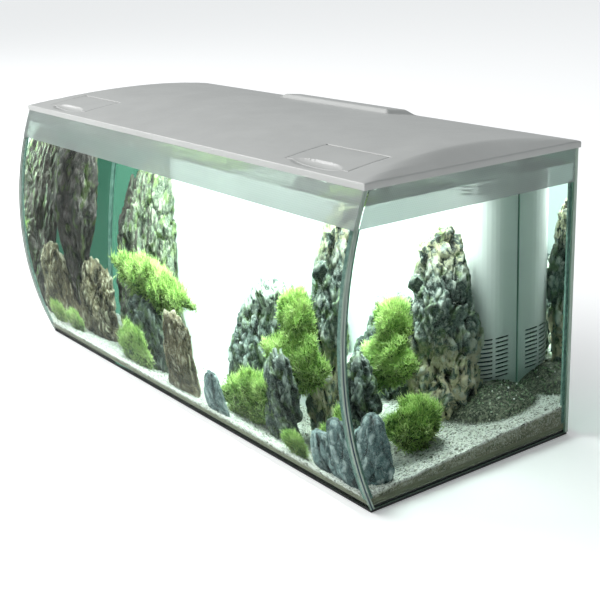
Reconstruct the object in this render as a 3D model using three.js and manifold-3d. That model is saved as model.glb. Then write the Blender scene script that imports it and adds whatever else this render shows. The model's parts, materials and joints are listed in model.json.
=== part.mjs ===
// Planted glass aquarium, 820 mm wide, with a bowed front pane, a vaulted lift-off hood and a filter
// module at the back. Millimetres, +Z up, the front of the tank towards -Y.
// The origin is at the middle of the overall footprint, on the surface that the tank stands on.
import * as THREE from 'three';
import { mergeVertices } from 'three/addons/utils/BufferGeometryUtils.js';
import Module from 'manifold-3d';

const wasm = await Module();
wasm.setup();

// ---------------------------------------------------------------- driving dimensions
const gap = 0.3; // left between pieces that touch
const reach = 20; // how far a cutting tool runs past what it cuts

const hoodWidth = 820;
const hoodDepth = 324;
const rimTop = 370;
const rimBottom = 362.5;
const vaultRise = 14; // crown of the hood above its rim
const endSlopeRun = 30; // length of the sloped ends of the hood, in plan
const hoodWall = 3;
const bulge = 36; // how far the front glass bows out

const overhang = 2; // the rim stands this far outside the glass
const glass = 5;
const bottomGlass = 6;
const matHeight = 3;
const glassTop = 364;
const arcSteps = 16;
const beadWidth = 5; // silicone in the corners of the tank

const frontY = -(hoodDepth + bulge - overhang) / 2; // furthest point of the bowed glass
const backY = frontY + hoodDepth + bulge - overhang; // back of the hood's rim
const middleY = backY - hoodDepth / 2; // middle of the rim, from front to back
const glassWidth = hoodWidth - 2 * overhang;
const glassFront = middleY - hoodDepth / 2 + overhang; // where the bowed glass starts, at top and bottom
const glassBack = backY - overhang;
const glassBottom = matHeight + gap;
const floorTop = glassBottom + bottomGlass;
const insideX = glassWidth / 2 - glass;
const insideBack = glassBack - glass;

const bandBottom = 323;
const bandThickness = 0.4;

const module = {
  left: -210, right: 261, front: middleY + 80, back: insideBack - 1.8,
  bottom: floorTop + gap, top: 352, wall: 3, corner: 50,
};
const slotHeight = 2.4;
const intakeSlots = { rows: 10, bottom: 62, pitch: 5.7 };
const skimmerSlots = { rows: 3, bottom: 302, pitch: 4.6 };
const partition = { left: -90, right: 140, wall: 2, lift: 20, top: 340 };
const basket = {
  outer: { left: -162, right: 212 }, wall: 2, top: 300, slots: 5, windowLow: 20, windowHigh: 90,
};
const mediaTops = { foam_block: 140, carbon_bag: 205, ceramic_ring_bag: 285 };

const pumpX = { left: -20, right: 70 };
const pump = {
  width: 46, depth: 44, height: 46, foot: 6, setBack: 8, spigot: 14, spigotBore: 4,
  chamber: 17, chamberDepth: 14, chamberWall: 4, rotorBore: 8, rotorDepth: 24, intake: 9,
};
const impeller = {
  disc: 13, discDepth: 3, hub: 6, hubLength: 16, blades: 6, bladeTip: 12, bladeDepth: 8, bladeThickness: 1.4,
};
const pipe = { outer: 8, inner: 6, bend: 18 };
const nozzle = { standOff: 6, straight: 6, length: 24, swing: 10, outer: 9, collar: 10.5, collarLength: 8 };
const outletZ = 318;

const flap = {
  inner: 251, outer: 361, front: middleY - 144, axis: middleY - 89,
  thickness: 2.6, gap: 0.5, barrel: 3.2, pin: 1.2,
};
const dish = { x: 44, y: 13, z: 5, wall: 2.4, lift: 1 }; // the hollow for a finger at the front of a flap
const lug = { width: 6, depth: 10, height: 8 };
const restTab = { width: 7, depth: 8, height: 2.2 };
const hump = { half: 130, front: backY - 52, back: backY - 5, rise: 5, slope: 16, shoulder: 9 };
const cableNotch = { half: 20, depth: 14, top: rimTop + 3, hole: 3, pitch: 10 };

const lamp = {
  width: 610, depth: 60, height: 12, wall: 2, bottom: 365, y: middleY - 10,
  diffuser: 2, board: 1.6, post: 200,
};

// ---------------------------------------------------------------- materials
const finish = (color, roughness, more = {}) =>
  new THREE.MeshStandardMaterial({ color, roughness, metalness: 0, ...more });
const clearGlass = finish(0xcfe6df, 0.03, { transparent: true, opacity: 0.35 });
const frostedFilm = finish(0xdfe8e6, 0.5, { transparent: true, opacity: 0.6 });
const silicone = finish(0xb9cfc8, 0.3);
const blackFoam = finish(0x141516, 0.9);
const greyPlastic = finish(0xb2b6b4, 0.42);
const whitePlastic = finish(0xf2f4f3, 0.35);
const darkPlastic = finish(0x232527, 0.5);
const blackRubber = finish(0x18191a, 0.75);
const steel = finish(0xb8babd, 0.25, { metalness: 1 });
const aluminium = finish(0xc6c9cc, 0.35, { metalness: 0.9 });
const circuitBoard = finish(0xe9ece8, 0.55);
const diffuserPlastic = finish(0xf7fafc, 0.4);
const filterFoam = finish(0x2b3b4a, 0.95);
const carbonMesh = finish(0x202224, 0.9);
const ceramicMesh = finish(0xd9cdbb, 0.85);
const mediaMaterials = { foam_block: filterFoam, carbon_bag: carbonMesh, ceramic_ring_bag: ceramicMesh };
const gravelGrit = finish(0xb7b29c, 0.95);
const darkStone = finish(0x5c6a66, 0.85);
const paleStone = finish(0xa89c84, 0.85);
const blueStone = finish(0x5f7f80, 0.7);
const mossGreen = finish(0x6f9c3a, 0.95);

// ---------------------------------------------------------------- solids and meshes
function solid(geometry) {
  const plain = geometry.index ? geometry.clone() : geometry;
  plain.deleteAttribute('normal');
  plain.deleteAttribute('uv');
  const merged = mergeVertices(plain, 1e-4);
  return new wasm.Manifold(new wasm.Mesh({
    numProp: 3,
    vertProperties: new Float32Array(merged.attributes.position.array),
    triVerts: new Uint32Array(merged.index.array),
  }));
}

function geometryOf(manifold) {
  const mesh = manifold.getMesh();
  const geometry = new THREE.BufferGeometry();
  geometry.setAttribute('position', new THREE.BufferAttribute(new Float32Array(mesh.vertProperties), 3));
  geometry.setIndex(new THREE.BufferAttribute(new Uint32Array(mesh.triVerts), 1));
  geometry.computeVertexNormals();
  return geometry;
}

const aquarium = new THREE.Group();

function add(name, shape, material, parent = aquarium) {
  const mesh = new THREE.Mesh(shape.isBufferGeometry ? shape : geometryOf(shape), material);
  mesh.name = name;
  parent.add(mesh);
  return mesh;
}

// The largest single piece that is left after a cut.
function largestPiece(manifold) {
  const pieces = manifold.decompose();
  return pieces.reduce((best, piece) => (piece.volume() > best.volume() ? piece : best));
}

function box(x0, x1, y0, y1, z0, z1) {
  const geometry = new THREE.BoxGeometry(x1 - x0, y1 - y0, z1 - z0);
  geometry.translate((x0 + x1) / 2, (y0 + y1) / 2, (z0 + z1) / 2);
  return solid(geometry);
}

function cylinder(radius, length, axis, centre, sides = 20) {
  const geometry = new THREE.CylinderGeometry(radius, radius, length, sides);
  if (axis === 'x') geometry.rotateZ(Math.PI / 2);
  if (axis === 'z') geometry.rotateX(Math.PI / 2);
  geometry.translate(...centre);
  return solid(geometry);
}

function ellipsoid(centre, radii, detail = 2) {
  const geometry = new THREE.IcosahedronGeometry(1, detail);
  geometry.scale(...radii);
  geometry.translate(...centre);
  return solid(geometry);
}

const shapeOf = (points) => new THREE.Shape(points.map(([a, b]) => new THREE.Vector2(a, b)));

// A side outline, points [y, z], carried along X.
function alongX(points, x0, x1) {
  const geometry = new THREE.ExtrudeGeometry(shapeOf(points), { depth: x1 - x0, bevelEnabled: false });
  const basis = new THREE.Matrix4().makeBasis(
    new THREE.Vector3(0, 1, 0), new THREE.Vector3(0, 0, 1), new THREE.Vector3(1, 0, 0));
  geometry.applyMatrix4(basis.setPosition(x0, 0, 0));
  return solid(geometry);
}

// A front outline, points [x, z], carried along Y.
function alongY(points, y0, y1) {
  const geometry = new THREE.ExtrudeGeometry(shapeOf(points), { depth: y1 - y0, bevelEnabled: false });
  const basis = new THREE.Matrix4().makeBasis(
    new THREE.Vector3(1, 0, 0), new THREE.Vector3(0, 0, 1), new THREE.Vector3(0, -1, 0));
  geometry.applyMatrix4(basis.setPosition(0, y1, 0));
  return solid(geometry);
}

// A plan, a THREE.Shape in X and Y, carried upwards.
function upwards(shape, z0, z1, curveSegments = 6) {
  const geometry = new THREE.ExtrudeGeometry(shape, { depth: z1 - z0, bevelEnabled: false, curveSegments });
  geometry.translate(0, 0, z0);
  return solid(geometry);
}

function tube(path, outer, inner, steps) {
  const ring = new THREE.Shape().absarc(0, 0, outer, 0, 2 * Math.PI);
  ring.holes.push(new THREE.Path().absarc(0, 0, inner, 0, 2 * Math.PI, true));
  return solid(new THREE.ExtrudeGeometry(ring, { extrudePath: path, steps, curveSegments: 6 }));
}

// A run straight from the first point to the second, then round a bend to the last.
function bentPath(start, bendStart, corner, end) {
  const [a, b, c, d] = [start, bendStart, corner, end].map((point) => new THREE.Vector3(...point));
  const path = new THREE.CurvePath();
  path.add(new THREE.LineCurve3(a, b));
  path.add(new THREE.QuadraticBezierCurve3(b, c, d));
  return path;
}

// ---------------------------------------------------------------- the bow of the front glass
const chord = glassTop - glassBottom;
const bowRadius = chord ** 2 / (8 * bulge) + bulge / 2;
const bowCentreY = glassFront - bulge + bowRadius;
const bowCentreZ = glassBottom + chord / 2;

// Y on the bow at height z, inset millimetres behind the outer face.
const bowY = (z, inset) => bowCentreY - Math.sqrt((bowRadius - inset) ** 2 - (z - bowCentreZ) ** 2);

function bowPoints(inset, z0, z1, steps = arcSteps) {
  const points = [];
  for (let i = 0; i <= steps; i += 1) {
    const z = z0 + (z1 - z0) * i / steps;
    points.push([bowY(z, inset), z]);
  }
  return points;
}

// Everything inside the glass, less a clearance.
function tankInterior(clearance) {
  const outline = [
    ...bowPoints(glass + clearance, floorTop + clearance, glassTop),
    [insideBack - clearance, glassTop],
    [insideBack - clearance, floorTop + clearance],
  ];
  return alongX(outline, -insideX + clearance, insideX - clearance);
}

// ---------------------------------------------------------------- tank
function makePanes() {
  const frontOutline = [
    ...bowPoints(0, glassBottom, glassTop),
    ...bowPoints(glass, glassBottom, glassTop).reverse(),
  ];
  add('front_pane', alongX(frontOutline, -glassWidth / 2, glassWidth / 2), clearGlass);
  const rear = box(-glassWidth / 2, glassWidth / 2, insideBack, glassBack, glassBottom, glassTop);
  add('rear_pane', rear, clearGlass);

  const sideOutline = [
    ...bowPoints(glass + gap, glassBottom, glassTop),
    [insideBack - gap, glassTop],
    [insideBack - gap, glassBottom],
  ];
  add('left_pane', alongX(sideOutline, -glassWidth / 2, -insideX), clearGlass);
  add('right_pane', alongX(sideOutline, insideX, glassWidth / 2), clearGlass);

  const bottomOutline = [
    ...bowPoints(glass + gap, glassBottom, floorTop, 2),
    [insideBack - gap, floorTop],
    [insideBack - gap, glassBottom],
  ];
  add('bottom_pane', alongX(bottomOutline, -insideX + gap, insideX - gap), clearGlass);
}

// One bead of silicone runs round the floor and up the four inside corners.
function beadSolid(width, clearance) {
  const centre = (z0, z1) => alongX([
    ...bowPoints(glass + width, z0, z1),
    [insideBack - width, z1],
    [insideBack - width, z0],
  ], -insideX + width, insideX - width);
  const floorRun = box(-insideX, insideX, frontY, backY, floorTop, floorTop + width)
    .subtract(centre(glassBottom, glassTop));
  const frontStrip = alongX([
    ...bowPoints(glass, floorTop, bandBottom),
    ...bowPoints(glass + width, floorTop, bandBottom).reverse(),
  ], -insideX, insideX);
  const backStrip = box(-insideX, insideX, insideBack - width, insideBack, floorTop, bandBottom);
  const middle = box(-insideX + width, insideX - width, frontY, backY, glassBottom, glassTop);
  const corners = frontStrip.add(backStrip).subtract(middle);
  return floorRun.add(corners).intersect(tankInterior(clearance));
}

function makeSilicone() {
  add('silicone_bead', beadSolid(beadWidth, gap), silicone);
}

function makeBaseMat() {
  const inset = 1;
  const edge = glassWidth / 2 - inset;
  add('base_mat', box(-edge, edge, glassFront + inset, glassBack - inset, 0, matHeight), blackFoam);
}

// Frosted film stuck round the top of the front and the sides, which hides the water line.
function makeBands() {
  const top = rimBottom - gap;
  const frontOutline = [
    ...bowPoints(-gap - bandThickness, bandBottom, top, 4),
    ...bowPoints(-gap, bandBottom, top, 4).reverse(),
  ];
  add('front_band_film', alongX(frontOutline, -glassWidth / 2, glassWidth / 2), frostedFilm);
  const sideOutline = [
    ...bowPoints(glass + 1, bandBottom, top, 4),
    [insideBack - 1, top],
    [insideBack - 1, bandBottom],
  ];
  const face = glassWidth / 2 + gap;
  add('left_band_film', alongX(sideOutline, -face - bandThickness, -face), frostedFilm);
  add('right_band_film', alongX(sideOutline, face, face + bandThickness), frostedFilm);
}

// ---------------------------------------------------------------- filter module
// The plan of the module is a wall with two rounded front corners, open towards the rear glass.
function modulePlan(inset) {
  const { left, right, front, back, corner } = module;
  const radius = corner - inset;
  const plan = new THREE.Shape();
  plan.moveTo(left + inset, back);
  plan.lineTo(left + inset, front + corner);
  plan.absarc(left + corner, front + corner, radius, Math.PI, 1.5 * Math.PI);
  plan.lineTo(right - corner, front + inset);
  plan.absarc(right - corner, front + corner, radius, 1.5 * Math.PI, 2 * Math.PI);
  plan.lineTo(right - inset, back);
  return plan;
}

// A slot through the rounded corner. turn is 0 on the front face and 90 degrees on the end face.
function cornerSlot(side, turn, width, height, z) {
  const { left, right, front, corner, wall } = module;
  const centreX = side < 0 ? left + corner : right - corner;
  const geometry = new THREE.BoxGeometry(width, 6 * wall, height);
  geometry.translate(0, -corner, 0);
  geometry.rotateZ(side * THREE.MathUtils.degToRad(turn));
  geometry.translate(centreX, front + corner, z);
  return solid(geometry);
}

function endSlot(side, y, width, height, z) {
  const face = side < 0 ? module.left : module.right;
  const through = 3 * module.wall;
  return box(face - through, face + through, y - width / 2, y + width / 2, z - height / 2, z + height / 2);
}

// Rows of slots round each end: the intake low down, and the surface skimmer at the water line.
function moduleSlots(side) {
  const y = module.front + module.corner - 1;
  const slots = [];
  for (let row = 0; row < intakeSlots.rows; row += 1) {
    const z = intakeSlots.bottom + intakeSlots.pitch * row;
    slots.push(cornerSlot(side, 53, 30, slotHeight, z));
    slots.push(endSlot(side, y, 22, slotHeight, z));
  }
  for (let row = 0; row < skimmerSlots.rows; row += 1) {
    const z = skimmerSlots.bottom + skimmerSlots.pitch * row;
    slots.push(cornerSlot(side, 24, 18, slotHeight, z));
    slots.push(cornerSlot(side, 55, 20, slotHeight, z));
    slots.push(endSlot(side, y, 22, slotHeight, z));
  }
  return slots;
}

function makeModule() {
  const { left, right, front, back, bottom, top, corner, wall } = module;
  const inside = upwards(modulePlan(wall), bottom - reach, top + reach)
    .add(box(left + wall, right - wall, front + corner, back + reach, bottom - reach, top + reach));
  // The foot of each end wall is notched over the bead of silicone.
  const footNotch = box(
    left - 1, right + 1, insideBack - beadWidth - 1, back + 1, floorTop, floorTop + beadWidth + 1);
  let housing = upwards(modulePlan(0), bottom, top).subtract(inside).subtract(footNotch);
  for (const slot of [...moduleSlots(-1), ...moduleSlots(1)]) housing = housing.subtract(slot);
  for (const x of Object.values(pumpX)) {
    housing = housing.subtract(cylinder(pipe.outer + 0.5, 4 * wall, 'y', [x, front, outletZ]));
  }
  add('filter_housing', housing, whitePlastic);

  for (const side of ['left', 'right']) {
    const x = partition[side];
    const panel = box(
      x - partition.wall / 2, x + partition.wall / 2, front + wall + gap, back - gap,
      bottom + partition.lift, partition.top);
    add(`${side}_partition`, panel, whitePlastic);
  }
}

// Foam, carbon and ceramic rings stand in a lift-out basket, in the order in which the water meets them.
function makeMedia(side) {
  const beside = partition[side] + (side === 'left' ? -3 : 3);
  const [x0, x1] = [beside, basket.outer[side]].sort((a, b) => a - b);
  const y0 = module.front + 8;
  const y1 = module.back - 4;
  const z0 = module.bottom + partition.lift;
  const { wall, top, slots, windowLow, windowHigh } = basket;
  let shell = box(x0, x1, y0, y1, z0, top)
    .subtract(box(x0 + wall, x1 - wall, y0 + wall, y1 - wall, z0 + wall, top + reach));
  for (let i = 0; i < slots; i += 1) {
    const x = x0 + (x1 - x0) * (i + 0.5) / slots;
    shell = shell.subtract(box(x - 3, x + 3, y0 + 8, y1 - 8, z0 - reach, z0 + reach / 2));
  }
  shell = shell.subtract(box(x0 - reach, x1 + reach, y0 + 12, y1 - 12, z0 + windowLow, z0 + windowHigh));
  add(`${side}_media_basket`, shell, darkPlastic);

  const inset = wall + 1;
  let low = z0 + inset;
  for (const [layer, high] of Object.entries(mediaTops)) {
    const block = box(x0 + inset, x1 - inset, y0 + inset, y1 - inset, low, high);
    add(`${side}_${layer}`, block, mediaMaterials[layer]);
    low = high + 2;
  }
}

// A small submersible pump: the impeller turns in a round chamber behind the intake hole.
function makePump(side) {
  const x = pumpX[side];
  const y0 = module.front + module.wall + pump.setBack;
  const z0 = module.bottom + pump.foot;
  const z1 = z0 + pump.height;
  const axisZ = (z0 + z1) / 2;
  const chamberY = y0 + pump.chamberWall + pump.chamberDepth / 2;
  const spigotTop = z1 + pump.spigot;
  const boreLength = spigotTop - axisZ + 1;
  const body = box(x - pump.width / 2, x + pump.width / 2, y0, y0 + pump.depth, z0, z1)
    .add(cylinder(pipe.outer, 2 * pump.spigot, 'z', [x, chamberY, z1], 16))
    .subtract(cylinder(pump.chamber, pump.chamberDepth, 'y', [x, chamberY, axisZ]))
    .subtract(cylinder(pump.rotorBore, pump.rotorDepth, 'y', [x, chamberY + pump.rotorDepth / 2, axisZ], 16))
    .subtract(cylinder(pump.intake, 2 * pump.chamberWall + 2, 'y', [x, y0, axisZ], 16))
    .subtract(cylinder(pump.spigotBore, boreLength, 'z', [x, chamberY, axisZ + boreLength / 2], 12));
  add(`${side}_pump_body`, body, darkPlastic);
  makeImpeller(side, [x, chamberY + 4, axisZ]);

  const bendZ = outletZ - pipe.bend;
  const pipeRun = new THREE.LineCurve3(
    new THREE.Vector3(x, chamberY, spigotTop + gap), new THREE.Vector3(x, chamberY, bendZ - gap));
  add(`${side}_outlet_pipe`, tube(pipeRun, pipe.outer, pipe.inner, 1), darkPlastic);

  const mouthY = module.front - nozzle.standOff;
  const elbowRun = bentPath(
    [x, mouthY, outletZ], [x, chamberY - pipe.bend + 4, outletZ], [x, chamberY, outletZ],
    [x, chamberY, bendZ]);
  add(`${side}_outlet_elbow`, tube(elbowRun, pipe.outer, pipe.inner, 6), darkPlastic);
  makeNozzle(side, x, mouthY);
}

function makeImpeller(side, [x, y, z]) {
  const { disc, discDepth, hub, hubLength, blades, bladeTip, bladeDepth, bladeThickness } = impeller;
  let rotor = cylinder(disc, discDepth, 'y', [x, y, z])
    .add(cylinder(hub, hubLength, 'y', [x, y + hubLength / 2, z], 12));
  for (let blade = 0; blade < blades; blade += 1) {
    const geometry = new THREE.BoxGeometry(bladeThickness, bladeDepth, bladeTip - 2);
    geometry.translate(0, 0, bladeTip / 2 + 1);
    geometry.rotateY(blade * 2 * Math.PI / blades);
    geometry.translate(x, y - bladeDepth / 2 - 1, z);
    rotor = rotor.add(solid(geometry));
  }
  add(`${side}_impeller`, rotor, whitePlastic);
}

// The nozzle's collar turns on the end of the elbow, where it stands out of the module.
function makeNozzle(side, x, mouthY) {
  const swing = side === 'left' ? -nozzle.swing : nozzle.swing;
  const start = mouthY - gap;
  const run = bentPath(
    [x, start, outletZ], [x, start - nozzle.straight, outletZ], [x, start - nozzle.length * 0.7, outletZ],
    [x + swing, start - nozzle.length, outletZ]);
  const collarY = start - 2 + nozzle.collarLength / 2;
  const socketY = start + nozzle.collarLength / 2;
  const collar = cylinder(nozzle.collar, nozzle.collarLength, 'y', [x, collarY, outletZ])
    .subtract(cylinder(pipe.outer + gap, nozzle.collarLength, 'y', [x, socketY, outletZ]))
    .subtract(cylinder(pipe.inner, 2 * nozzle.collarLength, 'y', [x, collarY, outletZ]));
  add(`${side}_outlet_nozzle`, tube(run, nozzle.outer, pipe.inner, 5).add(collar), darkPlastic);
}

// ---------------------------------------------------------------- hood
const vaultRadius = hoodDepth ** 2 / (8 * vaultRise) + vaultRise / 2;
const vaultCentreZ = rimTop + vaultRise - vaultRadius;
const vaultZ = (y) => vaultCentreZ + Math.sqrt(vaultRadius ** 2 - (y - middleY) ** 2);

// The solid under the vaulted top, less a skin of the given thickness.
function vaultSolid(skin, inset, bottom) {
  const y0 = middleY - hoodDepth / 2 + inset;
  const y1 = middleY + hoodDepth / 2 - inset;
  const outline = [[y0, bottom]];
  for (let i = 0; i <= arcSteps; i += 1) {
    const y = y0 + (y1 - y0) * i / arcSteps;
    outline.push([y, vaultZ(y) - skin]);
  }
  outline.push([y1, bottom]);
  const edge = hoodWidth / 2 - inset;
  const rise = vaultRise / endSlopeRun;
  const low = rimTop - skin + inset * rise;
  const tall = rimTop + 2 * vaultRise;
  const run = (tall - low) / rise;
  const ends = [
    [-edge, bottom - 1], [-edge, low], [-edge + run, tall],
    [edge - run, tall], [edge, low], [edge, bottom - 1],
  ];
  return alongX(outline, -edge, edge).intersect(alongY(ends, y0 - reach, y1 + reach));
}

const flapSides = { left: -1, right: 1 };
const flapX = (sign) => (sign < 0 ? [-flap.outer, -flap.inner] : [flap.inner, flap.outer]);
const pinZ = vaultZ(flap.axis) - flap.barrel;

// The upright space that a flap stands in. The relief lets the plate swing up past the barrel.
function flapColumn(sign, clearance) {
  const [x0, x1] = flapX(sign);
  const relief = clearance > 0 ? flap.barrel + clearance : 0;
  const plate = box(
    x0 - clearance, x1 + clearance, flap.front - clearance, flap.axis + relief, pinZ, rimTop + 2 * reach);
  const under = box(
    x0 - clearance, x1 + clearance, flap.front - clearance, flap.axis, rimTop - 2 * reach, pinZ + 1);
  const barrel = cylinder(
    flap.barrel + clearance, x1 - x0 + 2 * clearance, 'x', [(x0 + x1) / 2, flap.axis, pinZ], 16);
  return plate.add(under).add(barrel);
}

// The finger dish lies half in the front of the flap and half in the hood.
function fingerDish(sign, grow) {
  const centre = [sign * (flap.inner + flap.outer) / 2, flap.front - 1, vaultZ(flap.front) + dish.lift];
  return ellipsoid(centre, [dish.x + grow, dish.y + grow, dish.z + grow]);
}

// The raised housing over the cable outlet, at the middle of the back.
function rearHump(inset) {
  const half = hump.half - inset;
  const y0 = hump.front + inset;
  const y1 = hump.back - inset;
  const top = vaultZ(y0) + hump.rise - inset;
  const sideOutline = [
    [y0, rimTop - 2], [y0, vaultZ(y0) - hoodWall], [y0 + hump.shoulder, top],
    [y1 - hump.shoulder, top - 4], [y1, rimTop + 1 - inset], [y1, rimTop - 2],
  ];
  const frontOutline = [
    [-half, rimTop - hoodWall], [-half, rimTop + 2], [-half + hump.slope, top + 1],
    [half - hump.slope, top + 1], [half, rimTop + 2], [half, rimTop - hoodWall],
  ];
  return alongX(sideOutline, -half, half).intersect(alongY(frontOutline, y0 - reach, y1 + reach));
}

function makeHood() {
  const hood = new THREE.Group();
  aquarium.add(hood);
  const seat = glassTop + gap;
  const ledge = 12; // the flange that rests on the glass
  let shell = vaultSolid(0, 0, seat).add(rearHump(0));
  shell = shell.subtract(vaultSolid(hoodWall, ledge, seat - reach)).subtract(rearHump(hoodWall));
  const skirt = box(-hoodWidth / 2, hoodWidth / 2, glassFront - overhang, backY, rimBottom, seat + 1)
    .subtract(box(
      -glassWidth / 2 - gap, glassWidth / 2 + gap, bowY(rimBottom, 0) - gap, glassBack + gap,
      rimBottom - 1, seat + 2));
  shell = shell.add(skirt);
  for (const sign of Object.values(flapSides)) shell = cutForFlap(shell, sign, seat);
  for (const x of [-lamp.post, lamp.post]) {
    const foot = lamp.bottom + lamp.diffuser + lamp.height + gap;
    shell = shell.add(box(x - 8, x + 8, lamp.y - 8, lamp.y + 8, foot, rimTop + vaultRise - 1));
  }
  const { half, depth, top } = cableNotch;
  shell = shell.subtract(box(-half, half, backY - depth, backY + 1, rimBottom - 1, top));
  add('hood_shell', largestPiece(shell), greyPlastic, hood);

  makeGrommet(hood, seat);
  for (const [side, sign] of Object.entries(flapSides)) makeFlap(hood, side, sign);
  makeLamp(hood);
}

// The opening for a flap, with the hood's half of the dish, the hinge lugs and two tabs that
// stop the flap.
function cutForFlap(shell, sign, seat) {
  const [x0, x1] = flapX(sign);
  const middle = (x0 + x1) / 2;
  const bowl = fingerDish(sign, dish.wall).intersect(vaultSolid(0, 0, seat));
  let cut = shell.add(bowl).subtract(flapColumn(sign, flap.gap)).subtract(fingerDish(sign, 0));
  for (const x of [x0 - flap.gap - lug.width, x1 + flap.gap]) {
    cut = cut.add(box(
      x, x + lug.width, flap.axis - lug.depth / 2, flap.axis + lug.depth / 2,
      pinZ - lug.height / 2, pinZ + 1));
  }
  const tabTop = vaultZ(flap.front) - flap.thickness - gap;
  for (const x of [x0 + flap.gap, x1 - flap.gap - restTab.width]) {
    cut = cut.add(box(
      x, x + restTab.width, flap.front - restTab.depth / 2, flap.front + restTab.depth / 2,
      tabTop - restTab.height, tabTop));
  }
  return cut.subtract(cylinder(
    flap.pin + gap, x1 - x0 + 2 * lug.width - 1, 'x', [middle, flap.axis, pinZ], 12));
}

function makeGrommet(hood, seat) {
  const { half, depth, top, hole, pitch } = cableNotch;
  let grommet = box(-half + gap, half - gap, backY - depth + gap, backY - gap, seat, top - gap);
  for (const x of [-pitch, 0, pitch]) {
    grommet = grommet.subtract(cylinder(hole, 2 * depth + reach, 'y', [x, backY, seat + 1], 12));
  }
  add('cable_grommet', grommet, blackRubber, hood);
}

function makeFlap(hood, side, sign) {
  const [x0, x1] = flapX(sign);
  const middle = (x0 + x1) / 2;
  const plate = vaultSolid(0, 0, rimBottom).subtract(vaultSolid(flap.thickness, 0, rimBottom - reach));
  const bowl = fingerDish(sign, dish.wall)
    .intersect(flapColumn(sign, 0))
    .intersect(vaultSolid(0, 0, rimBottom));
  const lid = plate.intersect(box(x0, x1, flap.front, flap.axis, rimBottom, rimTop + reach))
    .add(bowl)
    .subtract(fingerDish(sign, 0))
    .add(cylinder(flap.barrel, x1 - x0, 'x', [middle, flap.axis, pinZ], 16))
    .subtract(cylinder(flap.pin + gap, x1 - x0 + reach, 'x', [middle, flap.axis, pinZ], 12));
  add(`${side}_feed_flap`, largestPiece(lid), greyPlastic, hood);
  const pin = cylinder(flap.pin, x1 - x0 + 2 * lug.width - 2, 'x', [middle, flap.axis, pinZ], 12);
  add(`${side}_flap_pin`, pin, steel, hood);
}

function makeLamp(hood) {
  const { width, depth, height, wall, bottom, y, diffuser, board } = lamp;
  const z0 = bottom + diffuser + gap;
  const z1 = bottom + diffuser + height;
  const slab = (inset, low, high) => box(
    -width / 2 + inset, width / 2 - inset, y - depth / 2 + inset, y + depth / 2 - inset, low, high);
  add('lamp_housing', slab(0, z0, z1).subtract(slab(wall, z0 - 1, z1 - wall)), aluminium, hood);
  add('led_board', slab(wall + 3, z1 - wall - gap - board, z1 - wall - gap), circuitBoard, hood);
  add('lamp_diffuser', slab(0, bottom, bottom + diffuser), diffuserPlastic, hood);
}

// ---------------------------------------------------------------- gravel, stones and moss
const frontGravel = 20;
const backGravel = 40;

function gravelSolid(raise) {
  const y0 = bowY(frontGravel, glass);
  const surface = alongX([
    [frontY, floorTop + gap], [frontY, frontGravel + raise], [y0, frontGravel + raise],
    [insideBack, backGravel + raise], [insideBack, floorTop + gap],
  ], -insideX, insideX);
  const mound = ellipsoid([276, middleY + 96, 30], [84 + raise, 66 + raise, 30 + raise], 3);
  return surface.add(mound).intersect(tankInterior(2 * gap)).subtract(beadSolid(beadWidth + gap, 0));
}

// A stone is a lathed blank, stretched, leaned over and roughened. Its foot is sunk in the gravel.
// blunt runs from 0 for a pointed top to 1 for a round one. foothold is how wide the foot is for its body.
function stoneSolid(spec, grow = 0) {
  const { at, radii, top, lean = [0, 0], turn = 0, blunt = 0.5, seed = 1, foothold = 1 } = spec;
  const foot = floorTop + 8;
  const height = top - foot;
  const shoulder = 0.7 + 0.2 * blunt;
  const crown = 0.35 + 0.35 * blunt;
  const profile = [[0, 0], [0.92, 0], [1, 0.18], [0.92, 0.42], [shoulder, 0.68], [crown, 0.9], [0, 1]];
  const geometry = new THREE.LatheGeometry(profile.map(([r, t]) => new THREE.Vector2(r, t)), 10);
  const place = geometry.attributes.position;
  for (let i = 0; i < place.count; i += 1) {
    const [x, t, z] = [place.getX(i), place.getY(i), place.getZ(i)];
    const angle = Math.atan2(z, x);
    const coarse = 0.09 * Math.sin(3 * angle + seed * 2.1 + 4 * t);
    const fine = 0.06 * Math.sin(5 * angle - seed + 9 * t);
    const flare = foothold + (1 - foothold) * Math.min(1, t / 0.7) ** 1.5;
    const rough = flare * (1 + coarse + fine);
    const localX = x * rough * (radii[0] + grow);
    const localY = z * rough * (radii[1] + grow);
    place.setXYZ(
      i,
      at[0] + localX * Math.cos(turn) - localY * Math.sin(turn) + lean[0] * t,
      middleY + at[1] + localX * Math.sin(turn) + localY * Math.cos(turn) + lean[1] * t,
      foot + t * (height + grow));
  }
  return outwards(geometry);
}

function outwards(geometry) {
  const made = solid(geometry);
  if (made.volume() > 0) return made;
  const turned = geometry.clone();
  const index = turned.index.array;
  for (let i = 0; i < index.length; i += 3) [index[i + 1], index[i + 2]] = [index[i + 2], index[i + 1]];
  return solid(turned);
}

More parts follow.
